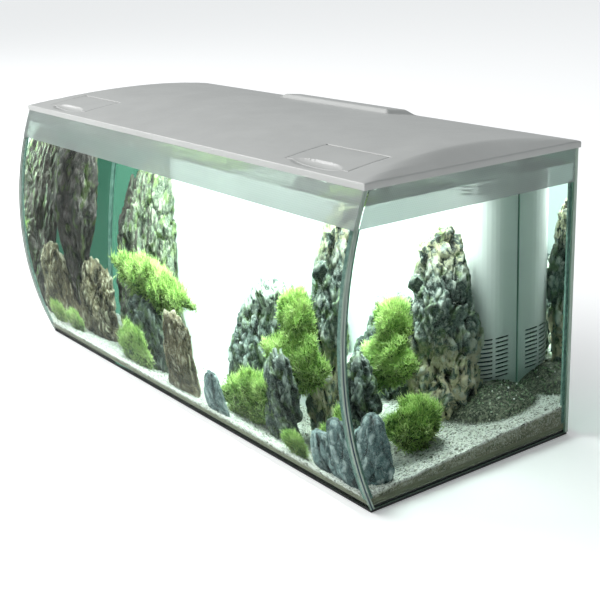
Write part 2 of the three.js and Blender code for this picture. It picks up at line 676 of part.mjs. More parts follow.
const sightTurn = THREE.MathUtils.degToRad(58); // the way that the broad side of the tall rock faces
const stones = {
  tall_rock: {
    at: [252, 38], radii: [52, 34], top: 272, lean: [-20, 2], turn: sightTurn, blunt: 0.4,
    seed: 2, material: darkStone,
  },
  centre_rock: {
    at: [72, 34], radii: [72, 32], top: 168, lean: [52, 0], blunt: 0.7, seed: 3, material: darkStone,
  },
  dark_centre_rock: {
    at: [208, -78], radii: [35, 21], top: 130, lean: [0, 6], blunt: 0.6, seed: 7, material: darkStone,
  },
  pale_front_stone: {
    at: [-18, -100], radii: [40, 24], top: 125, lean: [4, 2], blunt: 0.8, seed: 4, material: paleStone,
  },
  blue_grey_stone: {
    at: [85, -130], radii: [25, 16], top: 80, lean: [0, 4], blunt: 0.5, seed: 6, material: blueStone,
  },
  brown_jagged_stone: {
    at: [-338, 2], radii: [62, 34], top: 126, lean: [6, 4], blunt: 0.4, seed: 8, material: paleStone,
  },
  dark_left_rock: {
    at: [-150, -38], radii: [54, 34], top: 116, lean: [0, 4], blunt: 0.85, seed: 9, material: darkStone,
  },
  rear_left_rock: {
    at: [-192, 52], radii: [82, 44], top: 246, lean: [-36, 34], blunt: 0.8, seed: 1, material: darkStone,
  },
  leaning_left_rock: {
    at: [-396, 20], radii: [50, 38], top: 262, lean: [22, 0], blunt: 1, seed: 5, foothold: 0.1,
    material: darkStone,
  },
  corner_stone_left: {
    at: [316, -124], radii: [26, 15], top: 74, lean: [2, 0], blunt: 0.9, seed: 3.5, material: blueStone,
  },
  corner_stone_right: {
    at: [360, -128], radii: [33, 18], top: 100, lean: [-4, 0], blunt: 0.8, seed: 5.5, material: blueStone,
  },
};

// Moss cushions: centre from the middle of the tank, radii, and how steeply they fall towards +X.
const mosses = {
  left_moss_bank: { at: [-140, -14, 130], radii: [122, 40, 32], fall: 0.12 },
  left_moss_foot: { at: [-155, -84, 42], radii: [56, 26, 42] },
  far_left_moss: { at: [-374, -66, 38], radii: [26, 24, 20] },
  upper_moss: { at: [200, -14, 150], radii: [37, 28, 35] },
  middle_moss: { at: [206, -28, 108], radii: [66, 30, 42] },
  lower_moss: { at: [146, -68, 58], radii: [88, 26, 46], fall: -0.2 },
  moss_tuft: { at: [262, -128, 34], radii: [26, 15, 18] },
  right_moss: { at: [318, -50, 54], radii: [44, 46, 38] },
};

function mossSolid({ at, radii, fall = 0 }, grow) {
  const geometry = new THREE.IcosahedronGeometry(1, 2);
  geometry.scale(...radii.map((radius) => radius + grow));
  geometry.applyMatrix4(new THREE.Matrix4().makeShear(0, -fall, 0, 0, 0, 0));
  geometry.translate(at[0], middleY + at[1], at[2]);
  return solid(geometry);
}

function makeAquascape() {
  const water = tankInterior(6);
  const modulePlug = upwards(modulePlan(-1), floorTop - 1, rimTop, 6);
  const bed = gravelSolid(0).subtract(modulePlug);
  add('gravel_bed', largestPiece(bed), gravelGrit);
  let taken = gravelSolid(gap).add(modulePlug);
  for (const [name, spec] of Object.entries(stones)) {
    const stone = largestPiece(stoneSolid(spec).intersect(water).subtract(taken));
    add(name, stone, spec.material);
    taken = taken.add(stoneSolid(spec, 0.8));
  }
  for (const [name, spec] of Object.entries(mosses)) {
    add(name, largestPiece(mossSolid(spec, 0).intersect(water).subtract(taken)), mossGreen);
    taken = taken.add(mossSolid(spec, 0.8));
  }
}

// ---------------------------------------------------------------- assembly
makeBaseMat();
makePanes();
makeSilicone();
makeBands();
makeModule();
makeMedia('left');
makeMedia('right');
makePump('left');
makePump('right');
makeHood();
makeAquascape();

export default aquarium;
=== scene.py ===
"""The looks of a planted glass aquarium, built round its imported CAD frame.

Lengths are in millimetres, in the CAD's own frame, until a mesh is made: +Z is up and the bowed front
of the tank is towards -Y. Every random draw is seeded, so each run gives the same scene.
"""
import json
import math

import bmesh
import bpy
import numpy as np
from mathutils import Matrix, Vector

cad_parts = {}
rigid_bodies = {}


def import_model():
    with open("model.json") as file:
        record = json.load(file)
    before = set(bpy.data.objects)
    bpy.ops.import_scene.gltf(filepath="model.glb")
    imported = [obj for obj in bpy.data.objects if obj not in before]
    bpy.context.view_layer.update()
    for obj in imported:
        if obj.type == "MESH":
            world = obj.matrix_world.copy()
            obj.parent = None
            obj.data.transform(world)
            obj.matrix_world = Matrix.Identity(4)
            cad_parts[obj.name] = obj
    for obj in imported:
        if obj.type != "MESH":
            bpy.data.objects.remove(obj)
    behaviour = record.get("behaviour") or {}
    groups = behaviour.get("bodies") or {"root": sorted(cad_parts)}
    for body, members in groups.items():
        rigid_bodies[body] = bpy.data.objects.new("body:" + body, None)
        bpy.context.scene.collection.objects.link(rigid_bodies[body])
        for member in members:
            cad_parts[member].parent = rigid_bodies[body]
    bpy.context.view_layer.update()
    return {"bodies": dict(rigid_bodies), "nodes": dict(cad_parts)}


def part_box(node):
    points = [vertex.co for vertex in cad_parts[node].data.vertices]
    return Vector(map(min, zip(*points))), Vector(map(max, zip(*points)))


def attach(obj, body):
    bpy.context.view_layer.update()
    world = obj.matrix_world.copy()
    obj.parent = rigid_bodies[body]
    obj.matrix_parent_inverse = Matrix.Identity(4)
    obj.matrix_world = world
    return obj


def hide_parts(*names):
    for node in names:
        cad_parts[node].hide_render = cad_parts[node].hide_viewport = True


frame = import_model()
MM = 0.001


def box_mm(node):
    """The low and high corners of a CAD node's box."""
    low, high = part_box(node)
    return np.array(low) / MM, np.array(high) / MM


# ---------- dimensions taken from the frame
GAP = 0.3  # left between parts that touch
GLASS = 5.0
HOOD_LOW, HOOD_HIGH = box_mm("hood_shell")
PANE_LOW, PANE_HIGH = box_mm("front_pane")
SIDE_LOW, SIDE_HIGH = box_mm("right_pane")
REAR_LOW, REAR_HIGH = box_mm("rear_pane")
FLOOR_LOW, FLOOR_HIGH = box_mm("bottom_pane")
MODULE_LOW, MODULE_HIGH = box_mm("filter_housing")
MIDDLE_Y = (HOOD_LOW[1] + HOOD_HIGH[1]) / 2
LAMP_TOP = box_mm("lamp_housing")[1][2]
INSIDE_X = SIDE_LOW[0]
INSIDE_BACK = REAR_LOW[1]
FLOOR_TOP = FLOOR_HIGH[2]

OVERHANG = HOOD_HIGH[0] - PANE_HIGH[0]
GLASS_FRONT = HOOD_LOW[1] + OVERHANG
BULGE = GLASS_FRONT - PANE_LOW[1]
CHORD = PANE_HIGH[2] - PANE_LOW[2]
BOW_RADIUS = CHORD ** 2 / (8 * BULGE) + BULGE / 2
BOW_Y = GLASS_FRONT - BULGE + BOW_RADIUS
BOW_Z = (PANE_LOW[2] + PANE_HIGH[2]) / 2

WATER_LEVEL = 345.0
RIM_TOP = 370.0
VAULT_RISE = HOOD_HIGH[2] - RIM_TOP
END_SLOPE_RUN = 30.0


def bow_y(z, inset):
    """Y of the bowed glass at height z, inset millimetres behind its outer face."""
    return BOW_Y - np.sqrt((BOW_RADIUS - inset) ** 2 - (z - BOW_Z) ** 2)


# ---------- seeded noise on arrays of points
def lattice(cell, seed):
    """A number from 0 to 1 for each whole-numbered cell."""
    h = (cell[:, 0] * 73856093) ^ (cell[:, 1] * 19349663) ^ (cell[:, 2] * 83492791) ^ (seed * 26544357)
    h = ((h ^ (h >> 13)) * 1274126177) & 0xFFFFFFFF
    return ((h ^ (h >> 15)) & 0xFFFF) / 65535.0


def value_noise(points, seed):
    """Smooth noise from -1 to 1."""
    base = np.floor(points).astype(np.int64)
    part = points - base
    part = part * part * (3 - 2 * part)
    total = np.zeros(len(points))
    for corner in range(8):
        step = np.array([corner & 1, (corner >> 1) & 1, corner >> 2])
        weight = np.prod(np.where(step, part, 1 - part), axis=1)
        total += weight * lattice(base + step, seed)
    return 2 * total - 1


def layered(points, size, octaves, seed, growth, offset, shape=np.positive):
    """Octaves of noise, each finer than the last by the growth and half as strong."""
    total, weight, scale = 0.0, 1.0, 1.0 / size
    for octave in range(octaves):
        total = total + weight * shape(value_noise(points * scale + offset * octave, seed + octave))
        weight *= 0.5
        scale *= growth
    return total


def fbm(points, size, octaves=4, seed=0):
    """Cloudy noise, from about -1 to 1."""
    return layered(points, size, octaves, seed, 2.03, 17.3)


def ridged(points, size, octaves=3, seed=0):
    """Sharp crests, from about 0 to 1."""
    return layered(points, size, octaves, seed, 2.1, 9.1, lambda noise: 1 - np.abs(noise)) / 1.75


# ---------- meshes
def fill_mesh(mesh, points, faces):
    """Fills an empty mesh. faces is a list of arrays of corner numbers, each array with its own width."""
    faces = [np.asarray(f, np.int32) for f in faces if len(f)]
    counts = np.concatenate([np.full(len(f), f.shape[1], np.int32) for f in faces])
    corners = np.concatenate([f.ravel() for f in faces])
    mesh.vertices.add(len(points))
    mesh.vertices.foreach_set("co", (np.asarray(points, float) * MM).astype(np.float32).ravel())
    mesh.loops.add(len(corners))
    mesh.loops.foreach_set("vertex_index", corners)
    mesh.polygons.add(len(counts))
    mesh.polygons.foreach_set("loop_start", np.concatenate([[0], np.cumsum(counts)[:-1]]).astype(np.int32))
    mesh.update(calc_edges=True)
    mesh.validate()


def piece(name, points, faces, materials, body="tank", replaces=(), smooth=True,
          face_slots=None):
    """A named mesh object that rides on a body and stands for CAD nodes."""
    mesh = bpy.data.meshes.new(name)
    fill_mesh(mesh, points, faces)
    for material in materials if isinstance(materials, (list, tuple)) else [materials]:
        mesh.materials.append(material)
    mesh.polygons.foreach_set("use_smooth", np.full(len(mesh.polygons), smooth))
    if face_slots is not None:
        mesh.polygons.foreach_set("material_index", np.asarray(face_slots, np.int32))
    obj = bpy.data.objects.new(name, mesh)
    bpy.context.scene.collection.objects.link(obj)
    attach(obj, body)
    if replaces:
        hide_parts(*replaces)
    return obj


def set_float(obj, name, values):
    attribute = obj.data.attributes.new(name, "FLOAT", "POINT")
    attribute.data.foreach_set("value", np.asarray(values, np.float32))


def crisp(obj, degrees=32):
    """Shades smooth, except across edges sharper than the angle."""
    mesh = obj.data
    mesh.polygons.foreach_set("use_smooth", np.full(len(mesh.polygons), True))
    mesh.set_sharp_from_angle(angle=math.radians(degrees))


def face_outwards(obj):
    """Turns every face of a closed mesh to look outwards."""
    shape = bmesh.new()
    shape.from_mesh(obj.data)
    bmesh.ops.recalc_face_normals(shape, faces=shape.faces)
    shape.to_mesh(obj.data)
    shape.free()


def merge(parts):
    """Joins (points, faces) pairs into one."""
    points, faces, base = [], [], 0
    for part_points, part_faces in parts:
        points.append(np.asarray(part_points, float))
        faces += [np.asarray(f) + base for f in part_faces if len(f)]
        base += len(part_points)
    return np.concatenate(points), faces


def cell_middles(grid):
    return (grid[:-1, :-1] + grid[1:, 1:]) / 2


def double_field(top, bottom, keep=None):
    """A closed solid between two grids of points, over the cells that are kept.

    Its face arrays are the top, the bottom, the two sides that cross the rows and the two that run along.
    """
    rows, columns = top.shape[:2]
    keep = np.ones((rows - 1, columns - 1), bool) if keep is None else keep
    number = np.arange(rows * columns).reshape(rows, columns)
    points = np.concatenate([top.reshape(-1, 3), bottom.reshape(-1, 3)])
    lower = rows * columns
    i, j = np.nonzero(keep)
    a, b, c, d = number[i, j], number[i + 1, j], number[i + 1, j + 1], number[i, j + 1]
    faces = [np.column_stack([a, b, c, d]), np.column_stack([d, c, b, a]) + lower]
    padded = np.pad(keep, 1)
    for di, dj, first, second in ((-1, 0, d, a), (1, 0, b, c), (0, -1, a, b), (0, 1, c, d)):
        open_side = ~padded[i + 1 + di, j + 1 + dj]
        p, q = first[open_side], second[open_side]
        faces.append(np.column_stack([q, p, p + lower, q + lower]))
    used = np.unique(np.concatenate([f.ravel() for f in faces]))
    renumber = np.zeros(len(points), int)
    renumber[used] = np.arange(len(used))
    return points[used], [renumber[f] for f in faces]


def block(low, high):
    """A box with rounded edges."""
    shape = bmesh.new()
    low, high = np.array(low, float), np.array(high, float)
    size = high - low
    middle = (high + low) / 2
    bmesh.ops.create_cube(shape, size=1, matrix=Matrix.Translation(middle) @ Matrix.Diagonal((*size, 1)))
    bmesh.ops.bevel(shape, geom=shape.edges[:], offset=0.6, segments=2, affect="EDGES", profile=0.5)
    return shape_arrays(shape)


def shape_arrays(shape):
    """The points of a bmesh and its faces, grouped by how many corners they have. Frees the bmesh."""
    bmesh.ops.recalc_face_normals(shape, faces=shape.faces)
    shape.verts.ensure_lookup_table()
    shape.verts.index_update()
    points = np.array([v.co for v in shape.verts])
    by_width = {}
    for face in shape.faces:
        by_width.setdefault(len(face.verts), []).append([v.index for v in face.verts])
    shape.free()
    return points, [np.array(faces) for faces in by_width.values()]


spheres = {}


def ball(level):
    """Points and triangles of a unit icosphere."""
    if level not in spheres:
        shape = bmesh.new()
        bmesh.ops.create_icosphere(shape, subdivisions=level, radius=1)
        points, faces = shape_arrays(shape)
        spheres[level] = points, faces[0]
    return spheres[level]


def rod(start, end, radius, sides=32, bevel=0.4):
    """A round bar between two points, with chamfered ends."""
    start, end = np.array(start, float), np.array(end, float)
    length = np.linalg.norm(end - start)
    way = (end - start) / length
    side = np.cross(way, [0.3, 0.5, 0.8])
    side /= np.linalg.norm(side)
    other = np.cross(way, side)
    angle = np.arange(sides) * 2 * math.pi / sides
    ring = np.outer(np.cos(angle), side) + np.outer(np.sin(angle), other)
    stations = [(0, radius - bevel), (bevel, radius), (length - bevel, radius), (length, radius - bevel)]
    points = np.concatenate([start + way * along + ring * r for along, r in stations])
    a = np.arange(sides)
    b = (a + 1) % sides
    quads = [np.column_stack([a, b, b + sides, a + sides]) + sides * k for k in range(len(stations) - 1)]
    caps = np.array([a[::-1], a + sides * (len(stations) - 1)])
    return points, quads + [caps]


# ---------- node materials
class Paint:
    """A material under construction. Inputs may be numbers, colours or other nodes' sockets."""

    def __init__(self, name):
        self.material = bpy.data.materials.new(name)
        self.material.use_nodes = True
        self.tree = self.material.node_tree
        self.tree.nodes.clear()
        self.out = self.tree.nodes.new("ShaderNodeOutputMaterial")
        self.place = self.node("ShaderNodeTexCoord").outputs["Object"]

    def node(self, kind, inputs=None, **settings):
        made = self.tree.nodes.new(kind)
        for key, value in settings.items():
            setattr(made, key, value)
        for key, value in (inputs or {}).items():
            if isinstance(value, bpy.types.NodeSocket):
                self.tree.links.new(value, made.inputs[key])
            else:
                made.inputs[key].default_value = value
        return made

    def math(self, operation, *values):
        return self.node("ShaderNodeMath", dict(enumerate(values)), operation=operation).outputs[0]

    def noise(self, size, detail=4.0, roughness=0.55, place=None, distortion=0.0):
        """Noise with features of about the given size in millimetres."""
        return self.node("ShaderNodeTexNoise", {
            "Vector": place or self.place, "Scale": 1 / (size * MM), "Detail": detail,
            "Roughness": roughness, "Distortion": distortion}).outputs["Fac"]

    def cells(self, size, output="Distance", randomness=1.0):
        """Scattered cells of about the given size in millimetres."""
        return self.node("ShaderNodeTexVoronoi", {
            "Vector": self.place, "Scale": 1 / (size * MM), "Randomness": randomness}).outputs[output]

    def stretch(self, x, y, z):
        """The place, with each axis scaled."""
        return self.node("ShaderNodeMapping", {"Vector": self.place, "Scale": (x, y, z)}).outputs[0]

    def cell_shade(self, size):
        """A grey for each scattered cell."""
        return self.node("ShaderNodeRGBToBW", {0: self.cells(size, output="Color")}).outputs[0]

    def axis(self, name, vector=None):
        return self.node("ShaderNodeSeparateXYZ", {0: vector or self.place}).outputs[name]

    def ramp(self, factor, *stops):
        made = self.node("ShaderNodeValToRGB", {"Fac": factor})
        elements = made.color_ramp.elements
        while len(elements) < len(stops):
            elements.new(0.5)
        for element, (position, colour) in zip(elements, stops):
            element.position = position
            element.color = (*colour, 1)
        return made.outputs["Color"]

    def span(self, factor, from_low, from_high, to_low=0.0, to_high=1.0):
        return self.node("ShaderNodeMapRange", {
            "Value": factor, "From Min": from_low, "From Max": from_high,
            "To Min": to_low, "To Max": to_high}).outputs["Result"]

    def mix(self, factor, a, b, blend="MIX"):
        made = self.node("ShaderNodeMix", data_type="RGBA", blend_type=blend)
        for index, value in ((0, factor), (6, a), (7, b)):
            if isinstance(value, bpy.types.NodeSocket):
                self.tree.links.new(value, made.inputs[index])
            else:
                made.inputs[index].default_value = value if index == 0 else (*value, 1)
        return made.outputs[2]

    def attribute(self, name):
        return self.node("ShaderNodeAttribute", attribute_name=name).outputs["Fac"]

    def bump(self, height, distance, strength=1.0):
        return self.node("ShaderNodeBump", {
            "Height": height, "Distance": distance * MM, "Strength": strength}).outputs[0]

    def principled(self, colour, roughness, **more):
        inputs = {"Base Color": colour if isinstance(colour, bpy.types.NodeSocket) else (*colour, 1),
                  "Roughness": roughness}
        inputs.update({key.replace("_", " "): value for key, value in more.items()})
        return self.node("ShaderNodeBsdfPrincipled", inputs).outputs[0]

    def see_through(self, tint):
        return self.node("ShaderNodeBsdfTransparent", {"Color": (*tint, 1)}).outputs[0]

    def blend(self, share, first, second):
        return self.node("ShaderNodeMixShader", {0: share, 1: first, 2: second}).outputs[0]

    def finish(self, surface):
        self.tree.links.new(surface, self.out.inputs["Surface"])
        return self.material

    def lamps_pass(self, surface, tint=(1, 1, 1)):
        """Lets light from lamps, and light scattered by what is behind, through a clear surface."""
        path = self.node("ShaderNodeLightPath")
        soft = self.math("MAXIMUM", path.outputs["Is Shadow Ray"], path.outputs["Is Diffuse Ray"])
        return self.blend(soft, surface, self.see_through(tint))


GLASS_INDEX = 1.5
WATER_INDEX = 1.358
COATING = 2.6  # a power on the Fresnel share: weakens the mirror on a face and keeps total reflection
LAMP_SHARE = 0.82


def clear_body(p, tint, ior):
    """A clear solid with a coated, weak mirror on its face and a full one where light can't leave it."""
    mirror = p.math("POWER", p.node("ShaderNodeFresnel", {"IOR": ior}).outputs[0], COATING)
    through = p.node("ShaderNodeBsdfRefraction", {
        "Color": (*tint, 1), "Roughness": 0.0, "IOR": ior}).outputs[0]
    shine = p.node("ShaderNodeBsdfGlossy", {"Color": (1, 1, 1, 1), "Roughness": 0.0}).outputs[0]
    return p.blend(mirror, through, shine)


def clear_glass(name, tint):
    """Pale or greener glass: the tint is for one face, and light crosses two."""
    p = Paint(name)
    return p.finish(p.lamps_pass(clear_body(p, tint, GLASS_INDEX), tuple(LAMP_SHARE * c for c in tint)))


def floor_edge():
    """The edge of the bottom pane: dark low down at its two ends, and the colour of wet sand elsewhere."""
    p = Paint("floor_edge")
    patches = p.noise(5, detail=3)
    dark = p.ramp(patches, (0.3, (0.004, 0.006, 0.006)), (0.7, (0.012, 0.018, 0.016)))
    olive = p.ramp(patches, (0.3, (0.13, 0.14, 0.09)), (0.7, (0.24, 0.25, 0.17)))
    end = p.math("GREATER_THAN", p.math("ABSOLUTE", p.axis("X")), (FLOOR_HIGH[0] - 1) * MM)
    low = p.math("LESS_THAN", p.axis("Z"), 6.5 * MM)
    colour = p.mix(p.math("MULTIPLY", end, low), olive, dark)
    return p.finish(p.principled(colour, 0.25))


def glass_edge():
    """The ground edge of a pane: pale green, with a dark core in the lower part of the curved edge."""
    p = Paint("glass_edge")
    centre = (0.0, BOW_Y * MM, BOW_Z * MM)
    flat = p.node("ShaderNodeVectorMath", {0: p.place, 1: (0.0, 1.0, 1.0)}, operation="MULTIPLY").outputs[0]
    reach = p.node("ShaderNodeVectorMath", {0: flat, 1: centre}, operation="DISTANCE").outputs["Value"]
    inset = p.math("SUBTRACT", BOW_RADIUS * MM, reach)
    off_centre = p.math("ABSOLUTE", p.math("SUBTRACT", inset, GLASS / 2 * MM))
    core = p.span(off_centre, 0.7 * MM, 1.5 * MM, 1.0, 0.0)
    low = p.span(p.axis("Z"), 0.16, 0.26, 1.0, 0.2)
    streak = p.noise(3, place=p.stretch(1, 1, 0.08))
    pale = p.ramp(streak, (0.3, (0.17, 0.25, 0.19)), (0.7, (0.38, 0.47, 0.40)))
    colour = p.mix(p.math("MULTIPLY", core, low), pale, (0.008, 0.03, 0.045))
    return p.finish(p.principled(colour, 0.12, Coat_Weight=0.4, Coat_Roughness=0.05))


def clear_water():
    p = Paint("clear_water")
    absorb = p.node("ShaderNodeVolumeAbsorption", {"Color": (0.35, 0.86, 0.72, 1), "Density": 0.55})
    p.tree.links.new(absorb.outputs[0], p.out.inputs["Volume"])
    return p.finish(p.lamps_pass(clear_body(p, (1, 1, 1), WATER_INDEX)))


def frosted_film():
    """Thin frosted film with a faint honeycomb of clearer dots."""
    p = Paint("frosted_film")
    along = p.math("ADD", p.axis("X"), p.axis("Y"))
    pitch = 2.6 * MM
    row_ratio = 1.732

    def from_centre(place, step, shift):
        return p.math("SUBTRACT", p.math("FRACT", p.math("ADD", p.math("DIVIDE", place, step), shift)), 0.5)

    distances = []
    for shift in (0.0, 0.5):
        u = from_centre(along, pitch, shift)
        v = p.math("MULTIPLY", from_centre(p.axis("Z"), pitch * row_ratio, shift), row_ratio)
        distances.append(p.math("SQRT", p.math("ADD", p.math("MULTIPLY", u, u), p.math("MULTIPLY", v, v))))
    veil = p.span(p.math("MINIMUM", *distances), 0.26, 0.40, 0.58, 0.63)
    glow = p.node("ShaderNodeBsdfTranslucent", {"Color": (0.46, 0.495, 0.485, 1)}).outputs[0]
    frost = p.blend(0.55, p.principled((0.45, 0.485, 0.475), 0.35), glow)
    return p.finish(p.blend(veil, p.see_through((0.97, 0.985, 0.98)), frost))


def silicone():
    """Green in the corners, and the colour of sand at the foot."""
    p = Paint("silicone")
    colour = p.ramp(p.noise(6), (0.35, (0.10, 0.20, 0.17)), (0.7, (0.22, 0.36, 0.31)))
    colour = p.mix(p.span(p.axis("Z"), 15 * MM, 17 * MM, 1.0, 0.0), colour, (0.24, 0.25, 0.17))
    return p.finish(p.principled(colour, 0.3))


def foam(name, pore, dark, light, roughness, depth):
    """Open-celled foam with pores of about the given size."""
    p = Paint(name)
    pores = p.cells(pore)
    # Painted shade: the colour darkens towards the middle of each pore.
    colour = p.ramp(pores, dark, light)
    return p.finish(p.principled(colour, roughness, Normal=p.bump(pores, depth)))


def satin_plastic(name, colour, roughness):
    """Moulded plastic with a fine spark-eroded grain and a very slight unevenness of tone."""
    p = Paint(name)
    tone = p.noise(60, detail=2)
    shade = p.mix(p.span(tone, 0.3, 0.7), tuple(c * 0.95 for c in colour), tuple(c * 1.03 for c in colour))
    fine = p.noise(0.35, detail=2, roughness=0.7)
    rough = p.span(p.noise(9, detail=3), 0.3, 0.7, roughness - 0.04, roughness + 0.05)
    return p.finish(p.principled(shade, rough, Normal=p.bump(fine, 0.02, 0.5)))


def rubber():
    p = Paint("black_rubber")
    fine = p.noise(0.5, detail=2)
    return p.finish(p.principled((0.018, 0.018, 0.02), 0.62, Normal=p.bump(fine, 0.03, 0.6)))


def metal(name, colour, roughness, direction):
    """Drawn or extruded metal, with fine lines along one direction."""
    p = Paint(name)
    lines = p.noise(0.25, detail=2, place=p.stretch(*direction))
    rough = p.span(lines, 0.3, 0.7, roughness - 0.06, roughness + 0.08)
    return p.finish(p.principled(colour, rough, Metallic=1.0, Normal=p.bump(lines, 0.01, 0.5)))


def circuit_board():
    p = Paint("circuit_board")
    chip = p.cells(9, randomness=0.0)
    colour = p.ramp(chip, (0.2, (0.75, 0.62, 0.12)), (0.28, (0.80, 0.83, 0.79)))
    return p.finish(p.principled(colour, 0.45))


def lit_diffuser():
    p = Paint("lit_diffuser")
    ribs = p.math("SINE", p.math("MULTIPLY", p.axis("Y"), 2 * math.pi / (2.0 * MM)))
    shader = p.principled((0.9, 0.93, 0.95), 0.4, Normal=p.bump(ribs, 0.15, 0.4))
    glow = p.node("ShaderNodeEmission", {"Color": (0.93, 0.98, 1.0, 1), "Strength": 1.2}).outputs[0]
    return p.finish(p.node("ShaderNodeAddShader", {0: shader, 1: glow}).outputs[0])


def mesh_bag(name, light, dark, lump):
    """A net bag with its fill showing through the mesh."""
    p = Paint(name)
    inside = p.mix(p.span(p.cell_shade(lump), 0.2, 0.8), dark, light)
    weave = p.cells(1.1, randomness=0.0)
    net = p.span(weave, 0.42, 0.5)
    colour = p.mix(net, inside, (0.75, 0.77, 0.76))
    height = p.math("ADD", p.cells(lump), p.math("MULTIPLY", weave, 0.3))
    return p.finish(p.principled(colour, 0.8, Normal=p.bump(height, 0.7)))


def stone(name, dark, middle, light, crust_and_highlight, moss=0.0, rough=0.85, painted_light_crown=None, foot=None, painted_shade_side=None):
    """Rock whose cracks are dark with painted shade and whose crests are pale, partly a crust and partly a
    painted highlight, with veins, specks and a mossy bloom.

    crown and foot are (z, z, colour): blotches of that colour that start at the first height and are full at
    the second; the crown's pale blotches are painted light from the lamp above.
    lee is the colour of the side that faces -X, painted shade on that side.
    """
    p = Paint(name)
    relief = p.attribute("relief")
    broad = p.noise(26, detail=6, roughness=0.65, distortion=0.8)
    grains = p.noise(2.4, detail=6, roughness=0.8)
    base = p.ramp(broad, (0.36, dark), (0.5, middle), (0.64, light))
    base = p.mix(p.math("MULTIPLY", p.span(grains, 0.46, 0.60), 0.75), base, light)
    # Blotches near the top are painted light from the lamp above; those near the foot are the rock's own
    # patches.
    for size, blotch in ((9, painted_light_crown), (20, foot)):
        if blotch:
            none, full, colour = blotch
            patches = p.noise(size, detail=5, roughness=0.6, distortion=1.0)
            level = p.span(p.axis("Z"), none * MM, full * MM)
            base = p.mix(p.math("MULTIPLY", level, p.span(patches, 0.44, 0.52)), base, colour)
    # Painted shade: cracks and pits, where the relief is low, are darkened towards a near-black.
    base = p.mix(p.span(relief, 0.20, 0.50, 0.96, 0.0), base, tuple(c * 0.16 for c in dark))
    # Painted highlight, partly a real crust: the crests, where the relief is high, are paled towards the
    # crust colour.
    base = p.mix(p.span(relief, 0.62, 0.86, 0.0, 0.85), base, crust_and_highlight)
    base = p.mix(p.span(grains, 0.36, 0.30, 0.0, 0.6), base, tuple(c * 0.3 for c in dark))
    vein = p.noise(11, detail=3, distortion=1.8)
    vein_line = p.span(p.math("ABSOLUTE", p.math("SUBTRACT", vein, 0.5)), 0.0, 0.012, 0.7, 0.0)
    base = p.mix(vein_line, base, crust_and_highlight)
    if moss:
        bloom = p.math("MULTIPLY", p.span(p.noise(16, detail=5), 0.52, 0.62), moss)
        base = p.mix(bloom, base, (0.12, 0.2, 0.03))
    # Painted shade: the side that faces -X is mixed, by its normal, towards a darker brown-purple.
    if painted_shade_side:
        way = p.axis("X", p.node("ShaderNodeNewGeometry").outputs["Normal"])
        own = p.mix(p.span(broad, 0.4, 0.62), tuple(c * 0.35 for c in painted_shade_side), painted_shade_side)
        base = p.mix(p.span(way, 0.15, -0.25, 0.0, 0.85), base, own)
    height = p.math("ADD", p.math("MULTIPLY", grains, 0.6), p.math("MULTIPLY", p.cells(1.8), 0.4))
    return p.finish(p.principled(base, rough, Normal=p.bump(height, 0.9, 0.8)))


def moss():
    """Strands that are yellow-green at the tip, each a little different, and darkened with painted shade
    towards the root and on the core.
    """
    p = Paint("moss")
    tip = p.attribute("tip")
    own = p.attribute("own")
    fresh = p.ramp(own, (0.0, (0.10, 0.22, 0.04)), (0.3, (0.26, 0.45, 0.10)), (0.6, (0.48, 0.66, 0.21)),
                   (0.85, (0.62, 0.76, 0.31)), (1.0, (0.72, 0.82, 0.44)))
    # Painted shade: the roots and the core deep in the cushion take this near-black green.
    shaded_roots = p.ramp(p.noise(18, detail=3), (0.3, (0.020, 0.065, 0.012)), (0.7, (0.10, 0.15, 0.025)))
    colour = p.mix(p.span(tip, 0.0, 0.45), shaded_roots, fresh)
    return p.finish(p.principled(colour, 0.55, Specular_IOR_Level=0.35))


def gravel_bed():
    """Fine olive and brown sand seen from the side, pale speckled grit on top."""
    p = Paint("gravel_bed")
    level = p.attribute("depth")
    layers = p.noise(7, detail=5, place=p.stretch(0.25, 0.25, 1))
    sand = p.ramp(layers, (0.3, (0.17, 0.175, 0.12)), (0.5, (0.30, 0.30, 0.22)), (0.7, (0.44, 0.44, 0.35)))
    spots = p.cell_shade(1.7)
    sand = p.mix(p.span(spots, 0.62, 0.72, 0, 0.5), sand, (0.60, 0.60, 0.52))
    sand = p.mix(p.span(spots, 0.30, 0.22, 0, 0.5), sand, (0.07, 0.08, 0.055))
    grit_spots = p.cell_shade(2.6)
    pale = p.ramp(grit_spots, (0.12, (0.10, 0.105, 0.085)), (0.3, (0.45, 0.45, 0.40)),
                  (0.5, (0.85, 0.85, 0.80)))
    deep = p.ramp(grit_spots, (0.2, (0.012, 0.016, 0.010)), (0.5, (0.05, 0.06, 0.038)),
                  (0.8, (0.16, 0.17, 0.12)))
    grit = p.mix(p.attribute("dark"), pale, deep)
    colour = p.mix(p.span(level, 1.5, 4.0), grit, sand)
    return p.finish(p.principled(colour, 0.9, Normal=p.bump(p.cells(2.0), 1.0)))


def gravel_grain():
    """Grit of many tones: pale grains with a few dark ones, and green-grey ones on the mound."""
    p = Paint("gravel_grain")
    own = p.attribute("own")
    pale = p.ramp(own, (0.0, (0.16, 0.17, 0.135)), (0.12, (0.52, 0.52, 0.45)), (0.3, (0.86, 0.86, 0.81)),
                  (1.0, (0.97, 0.97, 0.95)))
    deep = p.ramp(own, (0.0, (0.02, 0.035, 0.018)), (0.45, (0.10, 0.16, 0.085)), (0.8, (0.25, 0.34, 0.20)),
                  (1.0, (0.42, 0.43, 0.36)))
    fleck = p.span(p.noise(0.7, detail=3), 0.3, 0.7, 0.82, 1.12)
    flecks = p.node("ShaderNodeCombineXYZ", {"X": fleck, "Y": fleck, "Z": fleck}).outputs[0]
    colour = p.mix(1.0, p.mix(p.attribute("dark"), pale, deep), flecks, blend="MULTIPLY")
    return p.finish(p.principled(colour, 0.7))


